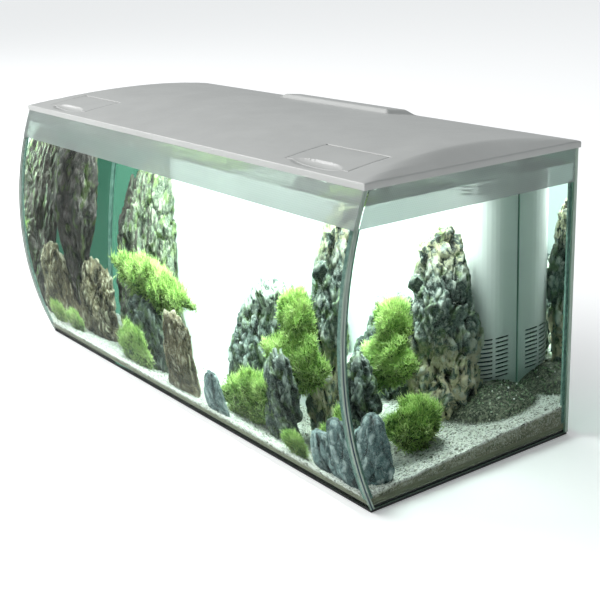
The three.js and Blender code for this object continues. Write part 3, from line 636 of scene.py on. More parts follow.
GLASS_PAINT = clear_glass("clear_glass", (0.968, 0.990, 0.978))
# Painted shade: the rear pane is tinted dark teal, so what is seen through it is darkened as if shaded
# behind the tank; the real pane is clear.
SHADED_REAR_GLASS = clear_glass("rear_glass", (0.34, 0.55, 0.46))
EDGE_PAINT = glass_edge()
FLOOR_EDGE_PAINT = floor_edge()
FILM_PAINT = frosted_film()
HOOD_PAINT = satin_plastic("hood_plastic", (0.46, 0.465, 0.452), 0.40)
FLAP_PAINT = satin_plastic("flap_plastic", (0.45, 0.455, 0.442), 0.40)
WHITE_PAINT = satin_plastic("white_plastic", (0.80, 0.82, 0.81), 0.38)
DARK_PAINT = satin_plastic("dark_plastic", (0.022, 0.023, 0.025), 0.42)
RUBBER_PAINT = rubber()
STEEL_PAINT = metal("steel_pin", (0.62, 0.63, 0.64), 0.24, (0.02, 1, 1))
ALUMINIUM_PAINT = metal("lamp_aluminium", (0.72, 0.74, 0.76), 0.34, (0.02, 1, 1))


# ---------- glass, water and fittings
def bow_line(inset, z0, z1, steps=72):
    """[y, z] points up the bowed glass."""
    z = np.linspace(z0, z1, steps + 1)
    return np.column_stack([bow_y(z, inset), z])


def make_pane(name, node, outer, inner, x0, x1, paint=None, edge=None):
    """A wall between two [y, z] lines of the same length, carried along X.

    The broad faces are clear and the edges show green. A side pane's broad faces are its two ends.
    """
    grids = [np.stack([np.column_stack([np.full(len(line), x), line]) for x in (x0, x1)], axis=1)
             for line in (inner, outer)]
    points, faces = double_field(*grids)
    broad = (4, 5) if x1 - x0 < 4 * GLASS else (0, 1)
    slots = np.concatenate([np.full(len(part), number not in broad) for number, part in enumerate(faces)])
    obj = piece(name, points, faces, [paint or GLASS_PAINT, edge or EDGE_PAINT],
                replaces=[node], face_slots=slots)
    crisp(obj, 40)


def make_glass():
    z0, z1 = PANE_LOW[2], PANE_HIGH[2]
    make_pane("front_glass", "front_pane", bow_line(0, z0, z1), bow_line(GLASS, z0, z1),
              PANE_LOW[0], PANE_HIGH[0])
    side_front = bow_line(GLASS + GAP, z0, z1)
    side_back = np.column_stack([np.full(len(side_front), INSIDE_BACK - GAP), side_front[:, 1]])
    make_pane("right_glass", "right_pane", side_front, side_back, SIDE_LOW[0], SIDE_HIGH[0])
    make_pane("left_glass", "left_pane", side_front, side_back, -SIDE_HIGH[0], -SIDE_LOW[0])
    z = np.array([z0, z1])
    make_pane("rear_glass", "rear_pane", np.column_stack([[REAR_LOW[1]] * 2, z]),
              np.column_stack([[REAR_HIGH[1]] * 2, z]), REAR_LOW[0], REAR_HIGH[0], SHADED_REAR_GLASS)
    floor_front = bow_line(GLASS + GAP, FLOOR_LOW[2], FLOOR_HIGH[2], 4)
    floor_back = np.column_stack([np.full(5, FLOOR_HIGH[1]), floor_front[:, 1]])
    make_pane("floor_glass", "bottom_pane", floor_front, floor_back, FLOOR_LOW[0], FLOOR_HIGH[0],
              edge=FLOOR_EDGE_PAINT)


def make_water():
    """The body of water: flat against the glass, with a rippled top."""
    clearance = 0.3
    edge = INSIDE_X - clearance
    back = INSIDE_BACK - clearance
    bottom = FLOOR_TOP + clearance
    across = 241
    deep = 97
    levels = 73
    columns = np.linspace(-edge, edge, across)
    share = np.linspace(0, 1, deep)
    front = bow_y(WATER_LEVEL, GLASS + clearance)
    x, s = np.meshgrid(columns, share, indexing="ij")
    y = front + s * (back - front)
    flat = np.column_stack([x.ravel(), y.ravel(), np.zeros(x.size)])
    wave = fbm(flat * [1, 1.4, 1], 34, 3, seed=11) + 0.35 * fbm(flat, 9, 2, seed=5)
    calm = np.clip(np.minimum(edge - np.abs(x), np.minimum(y - front, back - y)) / 12, 0, 1)
    top = np.stack([x, y, WATER_LEVEL + 0.9 * wave.reshape(x.shape) * calm], axis=2)
    run = np.arange(across)
    climb = np.arange(1, deep - 1)
    ring_i = np.concatenate([run, np.full(len(climb), across - 1), run[::-1], np.zeros(len(climb), int)])
    ring_j = np.concatenate([np.zeros(across, int), climb, np.full(across, deep - 1), climb[::-1]])
    number = np.arange(x.size).reshape(x.shape)
    points = [top.reshape(-1, 3)]
    faces = [np.column_stack([number[:-1, :-1].ravel(), number[1:, :-1].ravel(),
                              number[1:, 1:].ravel(), number[:-1, 1:].ravel()])]
    previous = number[ring_i, ring_j]
    base = x.size
    count = len(previous)
    for z in np.linspace(WATER_LEVEL, bottom, levels)[1:]:
        y_front = bow_y(z, GLASS + clearance)
        points.append(np.column_stack([
            columns[ring_i], y_front + share[ring_j] * (back - y_front), np.full(count, z)]))
        ring = base + np.arange(count)
        faces.append(np.column_stack([previous, ring, np.roll(ring, -1), np.roll(previous, -1)]))
        previous = ring
        base += count
    faces.append(previous[None, :])
    obj = piece("water", np.concatenate(points), faces, clear_water())
    face_outwards(obj)
    crisp(obj, 40)


def make_fittings():
    """CAD nodes whose shape is right keep it, and get their finish here."""
    finishes = {
        "base_mat": foam("black_foam", 0.9, (0.1, (0.004, 0.004, 0.005)), (0.8, (0.022, 0.023, 0.025)),
                         0.85, 0.3),
        "silicone_bead": silicone(),
        "front_band_film": FILM_PAINT, "left_band_film": FILM_PAINT, "right_band_film": FILM_PAINT,
        "filter_housing": WHITE_PAINT, "left_partition": WHITE_PAINT, "right_partition": WHITE_PAINT,
        "cable_grommet": RUBBER_PAINT, "left_flap_pin": STEEL_PAINT, "right_flap_pin": STEEL_PAINT,
        "lamp_housing": ALUMINIUM_PAINT, "led_board": circuit_board(), "lamp_diffuser": lit_diffuser(),
    }
    for side in ("left", "right"):
        for part in ("media_basket", "pump_body", "outlet_pipe", "outlet_elbow", "outlet_nozzle"):
            finishes[f"{side}_{part}"] = DARK_PAINT
        finishes[f"{side}_impeller"] = WHITE_PAINT
    for node, material in finishes.items():
        obj = frame["nodes"][node]
        obj.data.materials.clear()
        obj.data.materials.append(material)
        crisp(obj)


def pillow(name, node, material, swell):
    """A filter medium that fills its basket: a block with full, uneven sides and rounded corners."""
    low, high = box_mm(node)
    points, faces = ball(6)
    squared = np.sign(points) * np.abs(points) ** 0.28
    squared /= np.abs(squared).max(axis=0)
    half = (high - low) / 2 - swell
    place = (low + high) / 2 + squared * half
    lump = fbm(place, 14, 3, seed=len(name))
    place = place + points * (swell * np.clip(0.55 + 0.6 * lump, 0, 1))[:, None]
    obj = piece(name, place, [faces], material, replaces=[node])


def make_media():
    blue_foam = foam("filter_foam", 1.6, (0.15, (0.006, 0.012, 0.02)), (0.75, (0.05, 0.09, 0.14)), 0.95, 0.8)
    carbon = mesh_bag("carbon_mesh", (0.03, 0.03, 0.032), (0.008, 0.008, 0.009), 3.0)
    ceramic = mesh_bag("ceramic_mesh", (0.62, 0.55, 0.44), (0.36, 0.29, 0.21), 7.0)
    for side in ("left", "right"):
        pillow(f"{side}_foam", f"{side}_foam_block", blue_foam, 0.8)
        pillow(f"{side}_carbon", f"{side}_carbon_bag", carbon, 2.0)
        pillow(f"{side}_ceramic", f"{side}_ceramic_ring_bag", ceramic, 2.5)


# ---------- hood
VAULT_RADIUS = (HOOD_HIGH[1] - HOOD_LOW[1]) ** 2 / (8 * VAULT_RISE) + VAULT_RISE / 2
FLAP = {"inner": 251.0, "outer": 361.0, "front": MIDDLE_Y - 144, "axis": MIDDLE_Y - 89,
        "barrel": 3.2, "gap": 0.5, "thickness": 2.6}
DISH = {"x": 44.0, "y": 13.0, "z": 5.0, "wall": 2.4}
HUMP = {"half": 130.0, "front": HOOD_HIGH[1] - 52, "back": HOOD_HIGH[1] - 5, "rise": 5.0}


def vault_z(y):
    centre = RIM_TOP + VAULT_RISE - VAULT_RADIUS
    return centre + np.sqrt(VAULT_RADIUS ** 2 - (y - MIDDLE_Y) ** 2)


def smooth_min(a, b, size):
    share = np.clip(0.5 + 0.5 * (b - a) / size, 0, 1)
    return b * (1 - share) + a * share - size * share * (1 - share)


def round_over(distance, radius):
    """How far a rounded edge lies below the surface, this far in from the edge."""
    inside = np.clip(radius - distance, 0, radius)
    return radius - np.sqrt(radius ** 2 - inside ** 2)


def hump_z(x, y):
    """Height of the hump at the rear, and 0 elsewhere."""
    top = vault_z(HUMP["front"]) + HUMP["rise"]
    along = np.interp(y, [HUMP["front"] - 1, HUMP["front"] + 9, HUMP["back"] - 9, HUMP["back"]],
                      [vault_z(HUMP["front"]) - 3, top, top - 4, RIM_TOP + 1])
    across = np.interp(np.abs(x), [HUMP["half"] - 16, HUMP["half"]], [top + 1, RIM_TOP + 2])
    inside = (np.abs(x) < HUMP["half"] + 1) & (y > HUMP["front"] - 1) & (y < HUMP["back"] + 1)
    return np.where(inside, smooth_min(along, across, 2.5), 0)


def dish_z(x, y):
    """Height of the finger dishes in front of the flaps, and far above the hood elsewhere."""
    centre_x = (FLAP["inner"] + FLAP["outer"]) / 2
    reach = ((np.abs(x) - centre_x) / DISH["x"]) ** 2 + ((y - FLAP["front"] + 1) / DISH["y"]) ** 2
    surface = vault_z(FLAP["front"]) + 1
    return np.where(reach < 1, surface - DISH["z"] * np.sqrt(np.clip(1 - reach, 0, 1)), 1000)


def hood_top(x, y):
    """Height of the hood's outside: vault, sloping ends, hump, finger dishes and a rounded rim."""
    slope = RIM_TOP + (HOOD_HIGH[0] - np.abs(x)) * VAULT_RISE / END_SLOPE_RUN
    z = smooth_min(vault_z(y), slope, 2.5)
    z = -smooth_min(-z, -hump_z(x, y), 1.5)
    z = smooth_min(z, dish_z(x, y), 0.9)
    rim = np.minimum(HOOD_HIGH[0] - np.abs(x), np.minimum(y - HOOD_LOW[1], HOOD_HIGH[1] - y))
    return z - round_over(rim, 1.3)


def flap_hole_distance(x, y, grow):
    """How far a point is outside the flap's rectangle, grown by so much; below 0 inside."""
    middle_x = (FLAP["inner"] + FLAP["outer"]) / 2
    half_x = (FLAP["outer"] - FLAP["inner"]) / 2 + grow
    y0 = FLAP["front"] - grow
    y1 = FLAP["axis"] + FLAP["barrel"] + grow
    return np.maximum(np.abs(np.abs(x) - middle_x) - half_x, np.abs(y - (y0 + y1) / 2) - (y1 - y0) / 2)


def lines_between(low, high, step, extra):
    """Grid lines at a step, with extra ones that are kept exactly."""
    extra = np.array(sorted(e for e in extra if low <= e <= high))
    plain = np.linspace(low, high, int(round((high - low) / step)) + 1)
    if len(extra):
        near = np.min(np.abs(plain[:, None] - extra[None, :]), axis=1)
        plain = plain[(near > step * 0.3) | (plain == low) | (plain == high)]
    return np.unique(np.round(np.concatenate([plain, extra]), 4))


EDGE_STEPS = np.array([0.0, 0.1, 0.25, 0.5, 0.9, 1.3])
SLIT_STEPS = EDGE_STEPS[:5]
SLIT_ROUND = 0.9
STEP = 0.05  # the width of a step in the underside
SKIRT = 1.7
FRONT_SKIRT = 1.05
LEDGE = 12.0
NOTCH_HALF = 20.0
NOTCH_DEPTH = 14.0
PLATE = 3.0
DISH_PITCH = 1.6
HUMP_PITCH = 1.5


def stepped(*places):
    """Each place, and the same place a step further in."""
    return [at + more for at in places for more in (0, STEP)]


def hood_lines_x():
    outer = HOOD_HIGH[0]
    half = [outer - at for at in (*EDGE_STEPS, *stepped(SKIRT, LEDGE))]
    half += list(FLAP["inner"] - FLAP["gap"] - SLIT_STEPS) + list(FLAP["outer"] + FLAP["gap"] + SLIT_STEPS)
    half += list(np.arange(FLAP["inner"] + 9, FLAP["outer"] - 8, DISH_PITCH))
    half += list(np.arange(outer - END_SLOPE_RUN - 3, outer - END_SLOPE_RUN + 4, 1.0))
    half += list(np.arange(HUMP["half"] - 20, HUMP["half"] + 2, HUMP_PITCH)) + stepped(NOTCH_HALF)
    return lines_between(-outer, outer, 7.0, [s * h for s in (-1, 1) for h in half])


def hood_lines_y():
    y0, y1 = HOOD_LOW[1], HOOD_HIGH[1]
    extra = [y0 + at for at in (*EDGE_STEPS, *stepped(FRONT_SKIRT, LEDGE))]
    extra += [y1 - at for at in (*EDGE_STEPS, *stepped(SKIRT, LEDGE, NOTCH_DEPTH))]
    extra += list(FLAP["front"] - FLAP["gap"] - SLIT_STEPS)
    extra += list(FLAP["axis"] + FLAP["barrel"] + FLAP["gap"] + SLIT_STEPS)
    extra += list(np.arange(FLAP["front"] - 15, FLAP["front"] - 2, 1.0))
    extra += list(np.arange(HUMP["front"] - 2, HUMP["back"] + 2, HUMP_PITCH))
    return lines_between(y0, y1, 5.0, extra)


def make_hood():
    """The shell, with its skirt, ledge, cable notch and feed openings, flap lugs and lamp hangers."""
    x, y = np.meshgrid(hood_lines_x(), hood_lines_y(), indexing="ij")
    hole = flap_hole_distance(x, y, FLAP["gap"])
    top_z = hood_top(x, y) - round_over(np.maximum(hole, 0), SLIT_ROUND)
    bottom_z = hood_top(x, y) - PLATE
    side = HOOD_HIGH[0] - np.abs(x)
    back = HOOD_HIGH[1] - y
    front = y - HOOD_LOW[1]
    ledge = np.minimum(side, np.minimum(back, front)) <= LEDGE + 0.01
    skirt = (side <= SKIRT + 0.01) | (back <= SKIRT + 0.01) | (front <= FRONT_SKIRT + 0.01)
    notch = (np.abs(x) < NOTCH_HALF + 0.01) & (back < NOTCH_DEPTH + 0.01)
    bottom_z = np.where(ledge, PANE_HIGH[2] + GAP, bottom_z)
    bottom_z = np.where(skirt, HOOD_LOW[2], bottom_z)
    bottom_z = np.where(notch, np.minimum(RIM_TOP + 3, top_z - 1.2), bottom_z)
    bottom_z = np.minimum(bottom_z, top_z - 1.0)
    keep = flap_hole_distance(cell_middles(x), cell_middles(y), FLAP["gap"]) > 0
    parts = [double_field(np.stack([x, y, top_z], 2), np.stack([x, y, bottom_z], 2), keep)]
    pin_z = vault_z(FLAP["axis"]) - FLAP["barrel"]
    for sign in (-1, 1):
        for inner in (FLAP["inner"] - 6.5, FLAP["outer"] + 0.5):
            x0 = sign * inner if sign > 0 else -inner - 6
            parts.append(block([x0, FLAP["axis"] - 5, pin_z - 4], [x0 + 6, FLAP["axis"] + 5, pin_z + 1]))
        x0 = sign * 200 - 8
        parts.append(block([x0, MIDDLE_Y - 18, LAMP_TOP + GAP], [x0 + 16, MIDDLE_Y - 2, HOOD_HIGH[2] - 1]))
    points, faces = merge(parts)
    obj = piece("hood_cover", points, faces, HOOD_PAINT, body="hood",
                replaces=["hood_shell"])
    crisp(obj, 38)


def make_flap(side, sign):
    """A plate that carries on the hood's surface, with a barrel along its rear edge."""
    width = FLAP["outer"] - FLAP["inner"]
    x_lines = np.unique(np.round(np.concatenate([
        SLIT_STEPS, np.arange(9, 101, DISH_PITCH), width - SLIT_STEPS, np.arange(2, 109, 6)]), 4))
    x_lines = np.sort(sign * (FLAP["inner"] + x_lines))
    y_lines = np.unique(np.round(np.concatenate([
        FLAP["front"] + SLIT_STEPS, np.arange(FLAP["front"] + 1, FLAP["front"] + 15, 1.0),
        np.linspace(FLAP["front"] + 15, FLAP["axis"], 9)]), 4))
    x, y = np.meshgrid(x_lines, y_lines, indexing="ij")
    side_x = np.minimum(np.abs(x) - FLAP["inner"], FLAP["outer"] - np.abs(x))
    top_z = hood_top(x, y) - round_over(np.minimum(side_x, y - FLAP["front"]), SLIT_ROUND)
    bottom_z = np.minimum(hood_top(x, y) - FLAP["thickness"], vault_z(y) - FLAP["thickness"])
    plate = double_field(np.stack([x, y, top_z], 2), np.stack([x, y, bottom_z], 2))
    pin_z = vault_z(FLAP["axis"]) - FLAP["barrel"]
    ends = sorted((sign * FLAP["inner"], sign * FLAP["outer"]))
    barrel = rod([ends[0], FLAP["axis"], pin_z], [ends[1], FLAP["axis"], pin_z], FLAP["barrel"])
    points, faces = merge([plate, barrel])
    obj = piece(f"{side}_flap_plate", points, faces, FLAP_PAINT, body=f"{side}_flap",
                replaces=[f"{side}_feed_flap"])
    crisp(obj, 38)


# ---------- stones
# at is the foot's x and y, with y from the hood's middle, and lean is how far the top is shifted from it.
STONES = {
    "tall_rock": dict(at=(252, 38), radii=(52, 34), top=272, lean=(-20, 2), turn=58, blunt=0.4, seed=2),
    "centre_rock": dict(at=(72, 34), radii=(72, 32), top=168, lean=(52, 0), blunt=0.7, seed=3),
    "dark_centre_rock": dict(at=(208, -78), radii=(35, 21), top=130, lean=(0, 6), blunt=0.6, seed=7),
    "pale_front_stone": dict(at=(-18, -100), radii=(40, 24), top=125, lean=(4, 2), blunt=0.8, seed=4),
    "blue_grey_stone": dict(at=(85, -130), radii=(25, 16), top=80, lean=(0, 4), blunt=0.5, seed=6),
    "brown_jagged_stone": dict(at=(-338, 2), radii=(62, 34), top=126, lean=(6, 4), blunt=0.4, seed=8),
    "dark_left_rock": dict(at=(-150, -38), radii=(54, 34), top=116, lean=(0, 4), blunt=0.85, seed=9),
    "rear_left_rock": dict(at=(-192, 52), radii=(82, 44), top=246, lean=(-36, 34), blunt=0.8, seed=1),
    "leaning_left_rock": dict(at=(-396, 20), radii=(50, 38), top=262, lean=(22, 0), blunt=1.0, seed=5,
                              foothold=0.1),
    "corner_stone_left": dict(at=(316, -124), radii=(26, 15), top=74, lean=(2, 0), blunt=0.9, seed=3.5),
    "corner_stone_right": dict(at=(360, -128), radii=(33, 18), top=100, lean=(-4, 0), blunt=0.8, seed=5.5),
}


def stone_blank(spec, level):
    """The smooth form of a stone, as its CAD solid has it, with the way outwards at each point."""
    unit, faces = ball(level)
    angle = np.arctan2(unit[:, 1], unit[:, 0])
    t = (unit[:, 2] + 1) / 2
    blunt = spec["blunt"]
    profile_t = [0, 0.04, 0.18, 0.42, 0.68, 0.9, 0.97, 1]
    profile_r = [0, 0.9, 1, 0.92, 0.7 + 0.2 * blunt, 0.35 + 0.35 * blunt, 0.2 + 0.25 * blunt, 0]
    ring = np.interp(t, profile_t, profile_r)
    lobes = 1 + 0.09 * np.sin(3 * angle + spec["seed"] * 2.1 + 4 * t)
    lobes += 0.06 * np.sin(5 * angle - spec["seed"] + 9 * t)
    foothold = spec.get("foothold", 1)
    lobes *= foothold + (1 - foothold) * np.minimum(1, t / 0.7) ** 1.5
    turn = math.radians(spec.get("turn", 0))
    local_x = np.cos(angle) * ring * lobes * spec["radii"][0]
    local_y = np.sin(angle) * ring * lobes * spec["radii"][1]
    (at_x, at_y), (lean_x, lean_y) = spec["at"], spec["lean"]
    foot = FLOOR_TOP + 8
    points = np.column_stack([
        at_x + local_x * math.cos(turn) - local_y * math.sin(turn) + lean_x * t,
        MIDDLE_Y + at_y + local_x * math.sin(turn) + local_y * math.cos(turn) + lean_y * t,
        foot + t * (spec["top"] - foot)])
    flat = 1 - 0.6 * t ** 6
    outward = np.column_stack([np.cos(angle + turn) * flat, np.sin(angle + turn) * flat, 0.25 + t ** 3])
    outward /= np.linalg.norm(outward, axis=1)[:, None]
    return points, outward, faces


def facets(points, size, seed):
    """Tilted planes that meet in steps, as broken rock has.

    Returns each point's height, how far it is from the step between planes, and from its plane's middle.
    """
    place = points / size
    base = np.floor(place).astype(np.int64)
    first = np.full(len(points), 9.0)
    second = np.full(len(points), 9.0)
    height = np.zeros(len(points))
    for n in range(27):
        cell = base + np.array([n % 3 - 1, n // 3 % 3 - 1, n // 9 - 1])
        away = place - cell - np.stack([lattice(cell, seed + k) for k in range(3)], axis=1)
        tilt = np.stack([lattice(cell, seed + 11 + k) for k in range(3)], axis=1) - 0.5
        distance = np.linalg.norm(away, axis=1)
        nearer = distance < first
        second = np.where(nearer, first, np.minimum(second, distance))
        plane = np.sum(away * tilt, axis=1) * 1.7 + lattice(cell, seed + 7) - 0.5
        height = np.where(nearer, plane, height)
        first = np.where(nearer, distance, first)
    return height, second - first, first


def weathered(points, outward, seed, strength, strata, strata_size, pits):
    """Roughens a blank with slabs, layers, ridges and pits. Returns points, and relief from 0 to 1."""
    warp = np.stack([fbm(points, 38, 3, seed + k) for k in (20, 30, 40)], axis=1) * 6
    place = points + warp
    layer = place @ (np.array(strata) / np.linalg.norm(strata)) / strata_size
    saw = np.abs((layer + 0.6 * value_noise(place / 45, seed)) % 1 - 0.3)
    big, big_step, _ = facets(place * [1, 1, 0.55], 30, seed)
    small, small_step, _ = facets(place * [1, 1, 0.7], 12, seed + 3)
    cracks = -np.exp(-(big_step * 11) ** 2) - 0.6 * np.exp(-(small_step * 8) ** 2)
    crests = ridged(place * [1.3, 1.3, 0.5], 15, 4, seed + 5) - 0.6
    _, _, from_pit = facets(place * [1, 1, 0.75], 6.5, seed + 5)
    holes = -np.clip(0.45 - from_pit, 0, 1) * pits
    fine = fbm(place, 4, 3, seed + 9)
    height = 7.5 * big + 3.2 * small + 2.0 * cracks + 3.0 * (saw - 0.3) + 3.2 * crests
    height += 4.5 * holes + 0.7 * fine
    relief = 0.56 + 0.22 * cracks + 0.42 * crests + 0.16 * small + 0.5 * holes + 0.10 * fine + 0.12 * saw
    return points + outward * (height * strength)[:, None], np.clip(relief, 0, 1)


def make_stone(name, material, level=7, strength=1.0, strata=(0.5, 0.4, 0.25), size=15, pits=1.0):
    spec = STONES[name]
    blank, outward, faces = stone_blank(spec, level)
    points, relief = weathered(blank, outward, int(spec["seed"] * 10), strength, strata, size, pits)
    points[:, 2] = np.maximum(points[:, 2], FLOOR_TOP + 1)
    reach = INSIDE_X - 3
    points[:, 0] = np.clip(points[:, 0], -reach, reach)
    title = f"{name}_body" if name.endswith("stone") else f"{name}_stone"
    obj = piece(title, points, [faces], material, replaces=[name])
    set_float(obj, "relief", relief)


def make_stones():
    # The green rock's pale crown blotches are painted lamp light on its top.
    green = stone("green_grey_rock", (0.016, 0.027, 0.024), (0.060, 0.085, 0.074), (0.20, 0.25, 0.22),
                  (0.58, 0.61, 0.55), moss=0.35, painted_light_crown=(206, 246, (0.76, 0.74, 0.50)),
                  foot=(150, 90, (0.62, 0.55, 0.38)))
    # The mottled rock's side that faces -X gets painted shade.
    mottled = stone("mottled_rock", (0.014, 0.024, 0.017), (0.055, 0.075, 0.052), (0.135, 0.155, 0.105),
                    (0.32, 0.33, 0.25), moss=0.4, painted_shade_side=(0.055, 0.036, 0.038))
    # Painted shade: the brown rock's colours are made near-black, for the shade on the leaning rock at the
    # far left.
    brown = stone("shaded_brown_rock", (0.007, 0.009, 0.008), (0.026, 0.022, 0.020), (0.066, 0.053, 0.051),
                  (0.22, 0.19, 0.185), moss=0.3)
    # The black rock's pale crown blotches are painted lamp light on its top.
    black = stone("black_rock", (0.006, 0.010, 0.009), (0.022, 0.032, 0.029), (0.095, 0.125, 0.112),
                  (0.38, 0.43, 0.39), moss=0.3, painted_light_crown=(118, 156, (0.46, 0.50, 0.44)))
    tan = stone("tan_rock", (0.010, 0.009, 0.005), (0.060, 0.048, 0.024), (0.18, 0.15, 0.088),
                (0.52, 0.49, 0.37))
    blue = stone("blue_grey_rock", (0.022, 0.045, 0.047), (0.055, 0.10, 0.105), (0.15, 0.23, 0.235),
                 (0.52, 0.60, 0.60), rough=0.6)
    make_stone("tall_rock", green, strength=1.3, strata=(0.7, 0.3, 0.2))
    make_stone("leaning_left_rock", brown, 6, strength=1.1, strata=(0.5, 0.1, -0.6), size=13)
    make_stone("centre_rock", black, strength=1.2, strata=(0.6, 0.2, 0.5))
    make_stone("dark_centre_rock", black, 6, strength=1.1)
    make_stone("rear_left_rock", mottled, strength=1.2, strata=(0.8, -0.3, 0.15))
    make_stone("dark_left_rock", black, 6, strength=1.2)
    make_stone("pale_front_stone", tan, 6, strength=1.2, strata=(0.9, 0.1, 0.1), size=11)
    make_stone("brown_jagged_stone", tan, strength=1.25, strata=(0.8, 0.1, -0.5), size=12)
    for name in ("blue_grey_stone", "corner_stone_left", "corner_stone_right"):
        make_stone(name, blue, 6, strength=0.45, size=14, pits=0.2)


# ---------- moss
# Each has a centre, three radii, how steeply it falls towards +X, and its number of strands.
MOSSES = {
    "left_moss_bank": ((-140, -14, 130), (122, 40, 32), 0.12, 19000),
    "left_moss_foot": ((-155, -84, 42), (56, 26, 42), 0, 8500),
    "far_left_moss": ((-374, -66, 38), (26, 24, 20), 0, 2600),
    "upper_moss": ((200, -14, 150), (37, 28, 35), 0, 9500),
    "middle_moss": ((206, -28, 108), (66, 30, 42), 0, 14000),
    "lower_moss": ((146, -68, 58), (88, 26, 46), -0.2, 17000),
    "moss_tuft": ((262, -128, 34), (26, 15, 18), 0, 3600),
    "right_moss": ((318, -50, 54), (44, 46, 38), 0, 12500),
}


def strands(roots, ways, lengths, widths, random):
    """Thin three-sided curved spikes. Returns points, faces, and how far each point is towards the tip."""
    count = len(roots)
    side = np.cross(ways, random.normal(size=(count, 3)))
    side /= np.linalg.norm(side, axis=1)[:, None]
    other = np.cross(ways, side)
    bend = side * random.uniform(-0.5, 0.5, (count, 1)) + [0, 0, 0.12]
    stations = np.array([0, 0.4, 0.75, 1.0])
    sizes = np.array([1.0, 0.95, 0.6, 0.12])
    points = np.zeros((count, 4, 3, 3))
    for k, (t, size) in enumerate(zip(stations, sizes)):
        centre = roots + (ways * t + bend * t * t) * lengths[:, None]
        for corner in range(3):
            angle = corner * 2 * math.pi / 3
            radius = (widths * size)[:, None]
            points[:, k, corner] = centre + radius * (math.cos(angle) * side + math.sin(angle) * other)
    base = (np.arange(count) * 12)[:, None]
    quads = []
    for k in range(3):
        for corner in range(3):
            a, b = 3 * k + corner, 3 * k + (corner + 1) % 3
            quads.append(base + np.array([a, b, b + 3, a + 3]))
    caps = [base + np.array([2, 1, 0]), base + np.array([9, 10, 11])]
    tip = np.tile(np.repeat(stations, 3), count)
    return points.reshape(-1, 3), [np.concatenate(quads), np.concatenate(caps)], tip


def make_moss_cushion(name, spec, material, random):
    """A lumpy core with strands that stick out of it."""
    centre, radii, fall, count = spec
    centre = np.array([centre[0], MIDDLE_Y + centre[1], centre[2]], float)
    radii = np.array(radii, float)
    seed = int(centre[0]) % 97

    def bumpy(ways):
        return 0.84 + 0.34 * fbm(ways * radii + centre, 19, 3, seed=seed)

    unit, faces = ball(5)
    core = unit * radii * (bumpy(unit) * 0.82)[:, None]
    way = random.normal(size=(count, 3))
    way /= np.linalg.norm(way, axis=1)[:, None]
    way[:, 2] = np.abs(way[:, 2]) * np.where(random.random(count) < 0.8, 1, -1)
    roots = way * radii * (bumpy(way) * random.uniform(0.66, 0.9, count))[:, None]
    for part in (core, roots):
        part[:, 2] -= fall * part[:, 0]
        part += centre
    normal = way / radii
    normal /= np.linalg.norm(normal, axis=1)[:, None]
    ways = 0.6 * normal + random.normal(scale=0.75, size=(count, 3)) + [0, 0, 0.25]
    ways /= np.linalg.norm(ways, axis=1)[:, None]
    lengths = random.uniform(4, 11, count) * random.uniform(0.7, 1.3, count)
    points, strand_faces, tip = strands(roots, ways, lengths, random.uniform(0.35, 0.75, count), random)
    all_points, all_faces = merge([(core, [faces]), (points, strand_faces)])
    all_points[:, 2] = np.maximum(all_points[:, 2], FLOOR_TOP + 1)
    limit = INSIDE_X - 1.5
    all_points[:, 0] = np.clip(all_points[:, 0], -limit, limit)
    all_points[:, 1] = np.maximum(all_points[:, 1], bow_y(all_points[:, 2], GLASS + 1.2))
    obj = piece(f"{name}_strands", all_points, all_faces, material, replaces=[name])
    clump = np.clip(0.5 + 0.6 * fbm(roots, 15, 2, seed=3), 0, 1)
    own = np.clip(0.72 * random.random(count) + 0.6 * clump - 0.2, 0, 1)
    set_float(obj, "tip", np.concatenate([np.zeros(len(core)), tip]))
    set_float(obj, "own", np.concatenate([np.full(len(core), 0.2), np.repeat(own, 12)]))


def make_mosses():
    material = moss()
    random = np.random.RandomState(41)
    for name, spec in MOSSES.items():
        make_moss_cushion(name, spec, material, random)


# ---------- gravel
FRONT_GRAVEL = 20.0
BACK_GRAVEL = 40.0
MOUND = ((276, 96, 30), (84, 66, 30))  # centre and radii
GRAINS = 9400
BY_THE_GLASS = 0.35  # the share of the grains that lie along the front glass


def gravel_z(x, y):
    """Height of the bed, which rises to the rear, with a mound in the corner."""
    start = bow_y(FRONT_GRAVEL, GLASS)
    z = FRONT_GRAVEL + (y - start) / (INSIDE_BACK - start) * (BACK_GRAVEL - FRONT_GRAVEL)
    (cx, cy, cz), (rx, ry, rz) = MOUND
    reach = ((x - cx) / rx) ** 2 + ((y - MIDDLE_Y - cy) / ry) ** 2
    mound = np.where(reach < 1, cz + rz * np.sqrt(np.clip(1 - reach, 0, 1)), 0)
    return -smooth_min(-z, -mound, 8)


def on_mound(x, y):
    """1 on the dark grit in the corner, 0 away from it."""
    (cx, cy, _), (rx, ry, _) = MOUND
    return np.clip((1.35 - ((x - cx) / rx) ** 2 - ((y - MIDDLE_Y - cy) / ry) ** 2) * 3, 0, 1)


